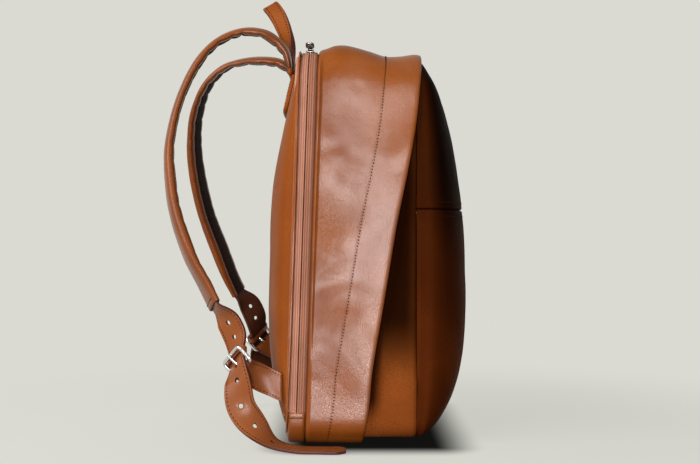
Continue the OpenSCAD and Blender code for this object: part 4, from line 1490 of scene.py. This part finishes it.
def makeAnchors():
    seat, sewn = Vector(anchor["seat"]), Vector((-0.12, 0, -1)).normalized()
    rows = []
    for t in (0, 1 / 3, 2 / 3, 1):
        turn = barDir.lerp(sewn, ease(0, 0.6, t)).normalized()
        rows.append((*heelAt.lerp(seat, t), *turn))
    at, reach = layRoute(rows, squared=False)
    run, wrap = reach[-1] + anchor["tuck"], math.pi * anchor["wrap"]
    half, ply = anchor["half"], anchor["ply"]

    def bend(s):
        if run < s < run + wrap:  # round the heel bar
            place, ahead, across, facing, size = at(0)
            a = (s - run) / anchor["wrap"]
            out = facing * math.cos(a) - ahead * math.sin(a)
            return heelAt + out * anchor["wrap"], across, out, 1.0
        u = run - s if s <= run else s - run - wrap
        face = 1 if s <= run else -1
        place, ahead, across, facing, size = at(u)
        rise = anchor["spread"] + (anchor["wrap"] - anchor["spread"]) * (1 - ease(0, anchor["flare"], u))
        return place + facing * face * rise, across, facing * face, 1.0

    total = 2 * run + wrap
    holes = [(run + wrap / 2, *anchor["window"])]
    spots = stripSpots(bend, half, ply, 3, run - 7, faces=(1,))
    spots += stripSpots(bend, half, ply, run + wrap + 7, total - 3, faces=(1,))
    for side in sides:
        bm = flatStrip(half, ply, total, bend, holes)
        sidePiece(bm, side, "AnchorStrap", [strapHide, paintedEdge], "_strap", "_anchor_strap")
        sewSide(side, "AnchorStitches", spots)


def inBuckle(x, y):  # place in the plane of the wire
    return buckle["at"] + barDir * x + shortDir * y


def buckleLoop():  # rounded rectangle through the middle of the wire
    half, short, r, n = buckle["half"], buckle["length"] / 2, buckle["corner"], 8
    points = []
    for k, (cx, cy) in enumerate(((1, 1), (-1, 1), (-1, -1), (1, -1))):
        for j in range(n + 1):
            a = math.pi / 2 * (k + j / n)
            points.append(inBuckle(cx * (half - r) + r * math.cos(a), cy * (short - r) + r * math.sin(a)))
        straight = (half - r) if k % 2 == 0 else (short - r)
        last = points[-1]
        step = (-barDir, -shortDir, barDir, shortDir)[k]
        points += [last + step * 2 * straight * q / 6 for q in range(1, 6)]
    return points


def makeBuckles():
    loop = buckleLoop()
    lean = math.atan2(buckle["wire"] + buckle["prong"] + 0.1, buckle["length"])
    along = -shortDir * math.cos(lean) + outDir * math.sin(lean)
    eye, run, n = buckle["wire"] + 0.9, buckle["length"] + 2.4, 14
    turns = [math.radians(a) for a in range(-40, 260, 15)]
    curl = [heelAt + along * eye * math.cos(a) + along.cross(barDir) * eye * math.sin(a) for a in turns]
    shank = [heelAt + along * (eye - 0.3 + (run - eye) * q / n) for q in range(n + 1)]
    shank = [p + outDir * buckle["arch"] * math.sin(math.pi * q / n) for q, p in enumerate(shank)]
    for side in sides:
        bm = tubeAlong(loop, lambda k: buckle["wire"], 16, outDir, closed=True)
        sidePiece(bm, side, "BuckleFrame", nickel, "_buckle", "_buckle_frame")
        bm = tubeAlong(curl, lambda k: buckle["curl"], 10, barDir)
        joinInto(bm, tubeAlong(shank, lambda k: buckle["prong"] * (1.0 - 0.28 * ease(8, n, k)), 12, barDir))
        sidePiece(bm, side, "BuckleProng", nickel, "_prong", "_buckle_prong")


makeBelts()
makeKeepers()
makeAnchors()
makeBuckles()
print("belts, keepers, anchor straps and buckles fitted")


# zip sliders and their pulls, drawn in the zip plane
slider = {
    "length": 12, "half": 4.5, "plateZ": 414.4, "plate": 1.5, "lowZ": 409.0, "bail": 0.9, "bailRise": 2.4,
    "park": -112, "pitch": 24, "nose": 0.62,
}
pull = {"half": 4.5, "thick": 1.6, "neck": 2.2, "eye": 1.9, "tilt": math.radians(8)}
bailZ = slider["plateZ"] + slider["plate"] + slider["bailRise"]


def sliderPlate(x, z, thick, way):  # broad shoulders and a narrower nose
    half, length = slider["half"], slider["length"] / 2
    bm = roundedBlock((x - length, -half, z), (x + length, half, z + thick), 0.5, 3)
    for v in bm.verts:
        nose = ease(-0.2, 1.0, way * (v.co.x - x) / length)
        waist = 0.16 * dip((v.co.x - x) / length, 0.35)
        v.co.y *= 1 - (1 - slider["nose"]) * nose - waist
    return bm


def makeSlider(side, x, way):
    bm = sliderPlate(x, slider["plateZ"], slider["plate"], way)
    joinInto(bm, sliderPlate(x, slider["lowZ"], 1.4, way))
    post = (x - 2.4, -0.6, slider["lowZ"] + 1), (x + 2.4, 0.6, slider["plateZ"] + 0.5)
    joinInto(bm, roundedBlock(*post, 0.2))
    top, low = bailZ, slider["plateZ"] + slider["plate"] - 0.6
    arch = [(-3.1, low), (-3.1, low + 1), (-3.05, top - 1.1), (-2.7, top - 0.35), (-2.0, top), (0, top)]
    arch += [(-a, b) for a, b in reversed(arch[:-1])]
    at, reach = layRoute([(x, a, b, 1, 0, 0) for a, b in arch])
    points = [at(reach[-1] * k / 30)[0] for k in range(31)]
    joinInto(bm, tubeAlong(points, lambda k: slider["bail"], 10, (1, 0, 0)))
    for v in bm.verts:
        v.co = inZipPlane(v.co)
    makePiece(bm, side + "Slider", dullNickel, side + "_slider", (side + "_slider",))


def makePull(side, x, way):
    c, s = math.cos(pull["tilt"]), math.sin(pull["tilt"])
    sizes = ((1.6, 2.2), (4.5, 2.2), (5.6, 3.0), (7.0, 4.3), (9.0, 4.5), (19.5, 4.5), (22.4, 3.7), (24, 1.9))
    start, end = sizes[0][0], sizes[-1][0]

    def bend(d):
        at = Vector((way * (start + d), 0, 0))
        return at, Vector((0, -way, 0)), Vector((0, 0, 1)), through(sizes, start + d) / pull["half"]

    bm = flatStrip(pull["half"], pull["thick"], end - start, bend)
    for f in bm.faces:
        f.material_index = 0
    bore, rim, neck = slider["bail"] + 0.1, pull["eye"], pull["neck"]
    eye = bmesh.new()
    corners = [(bore, -neck), (rim, -neck), (rim, neck), (bore, neck)]
    verts = [eye.verts.new((r, y, 0)) for r, y in corners]
    edges = [eye.edges.new((verts[k], verts[(k + 1) % 4])) for k in range(4)]
    bmesh.ops.spin(
        eye, geom=verts + edges, axis=(0, 1, 0), cent=(0, 0, 0), angle=2 * math.pi, steps=20, use_merge=True)
    bmesh.ops.recalc_face_normals(eye, faces=eye.faces)
    joinInto(bm, eye)
    for v in bm.verts:
        px, py, pz = v.co
        v.co = inZipPlane((x + px * c - way * pz * s, py, bailZ + way * px * s + pz * c))
    piece = makePiece(bm, side + "ZipPull", dullNickel, side + "_pull", (side + "_zip_pull",))
    piece.data.set_sharp_from_angle(angle=math.radians(40))


parked = (("left", slider["park"], 1), ("right", slider["park"] + slider["pitch"], -1))
for side, x, way in parked:
    makeSlider(side, x, way)
for side, x, way in parked:
    makePull(side, x, -way)
print("sliders and pulls hung")
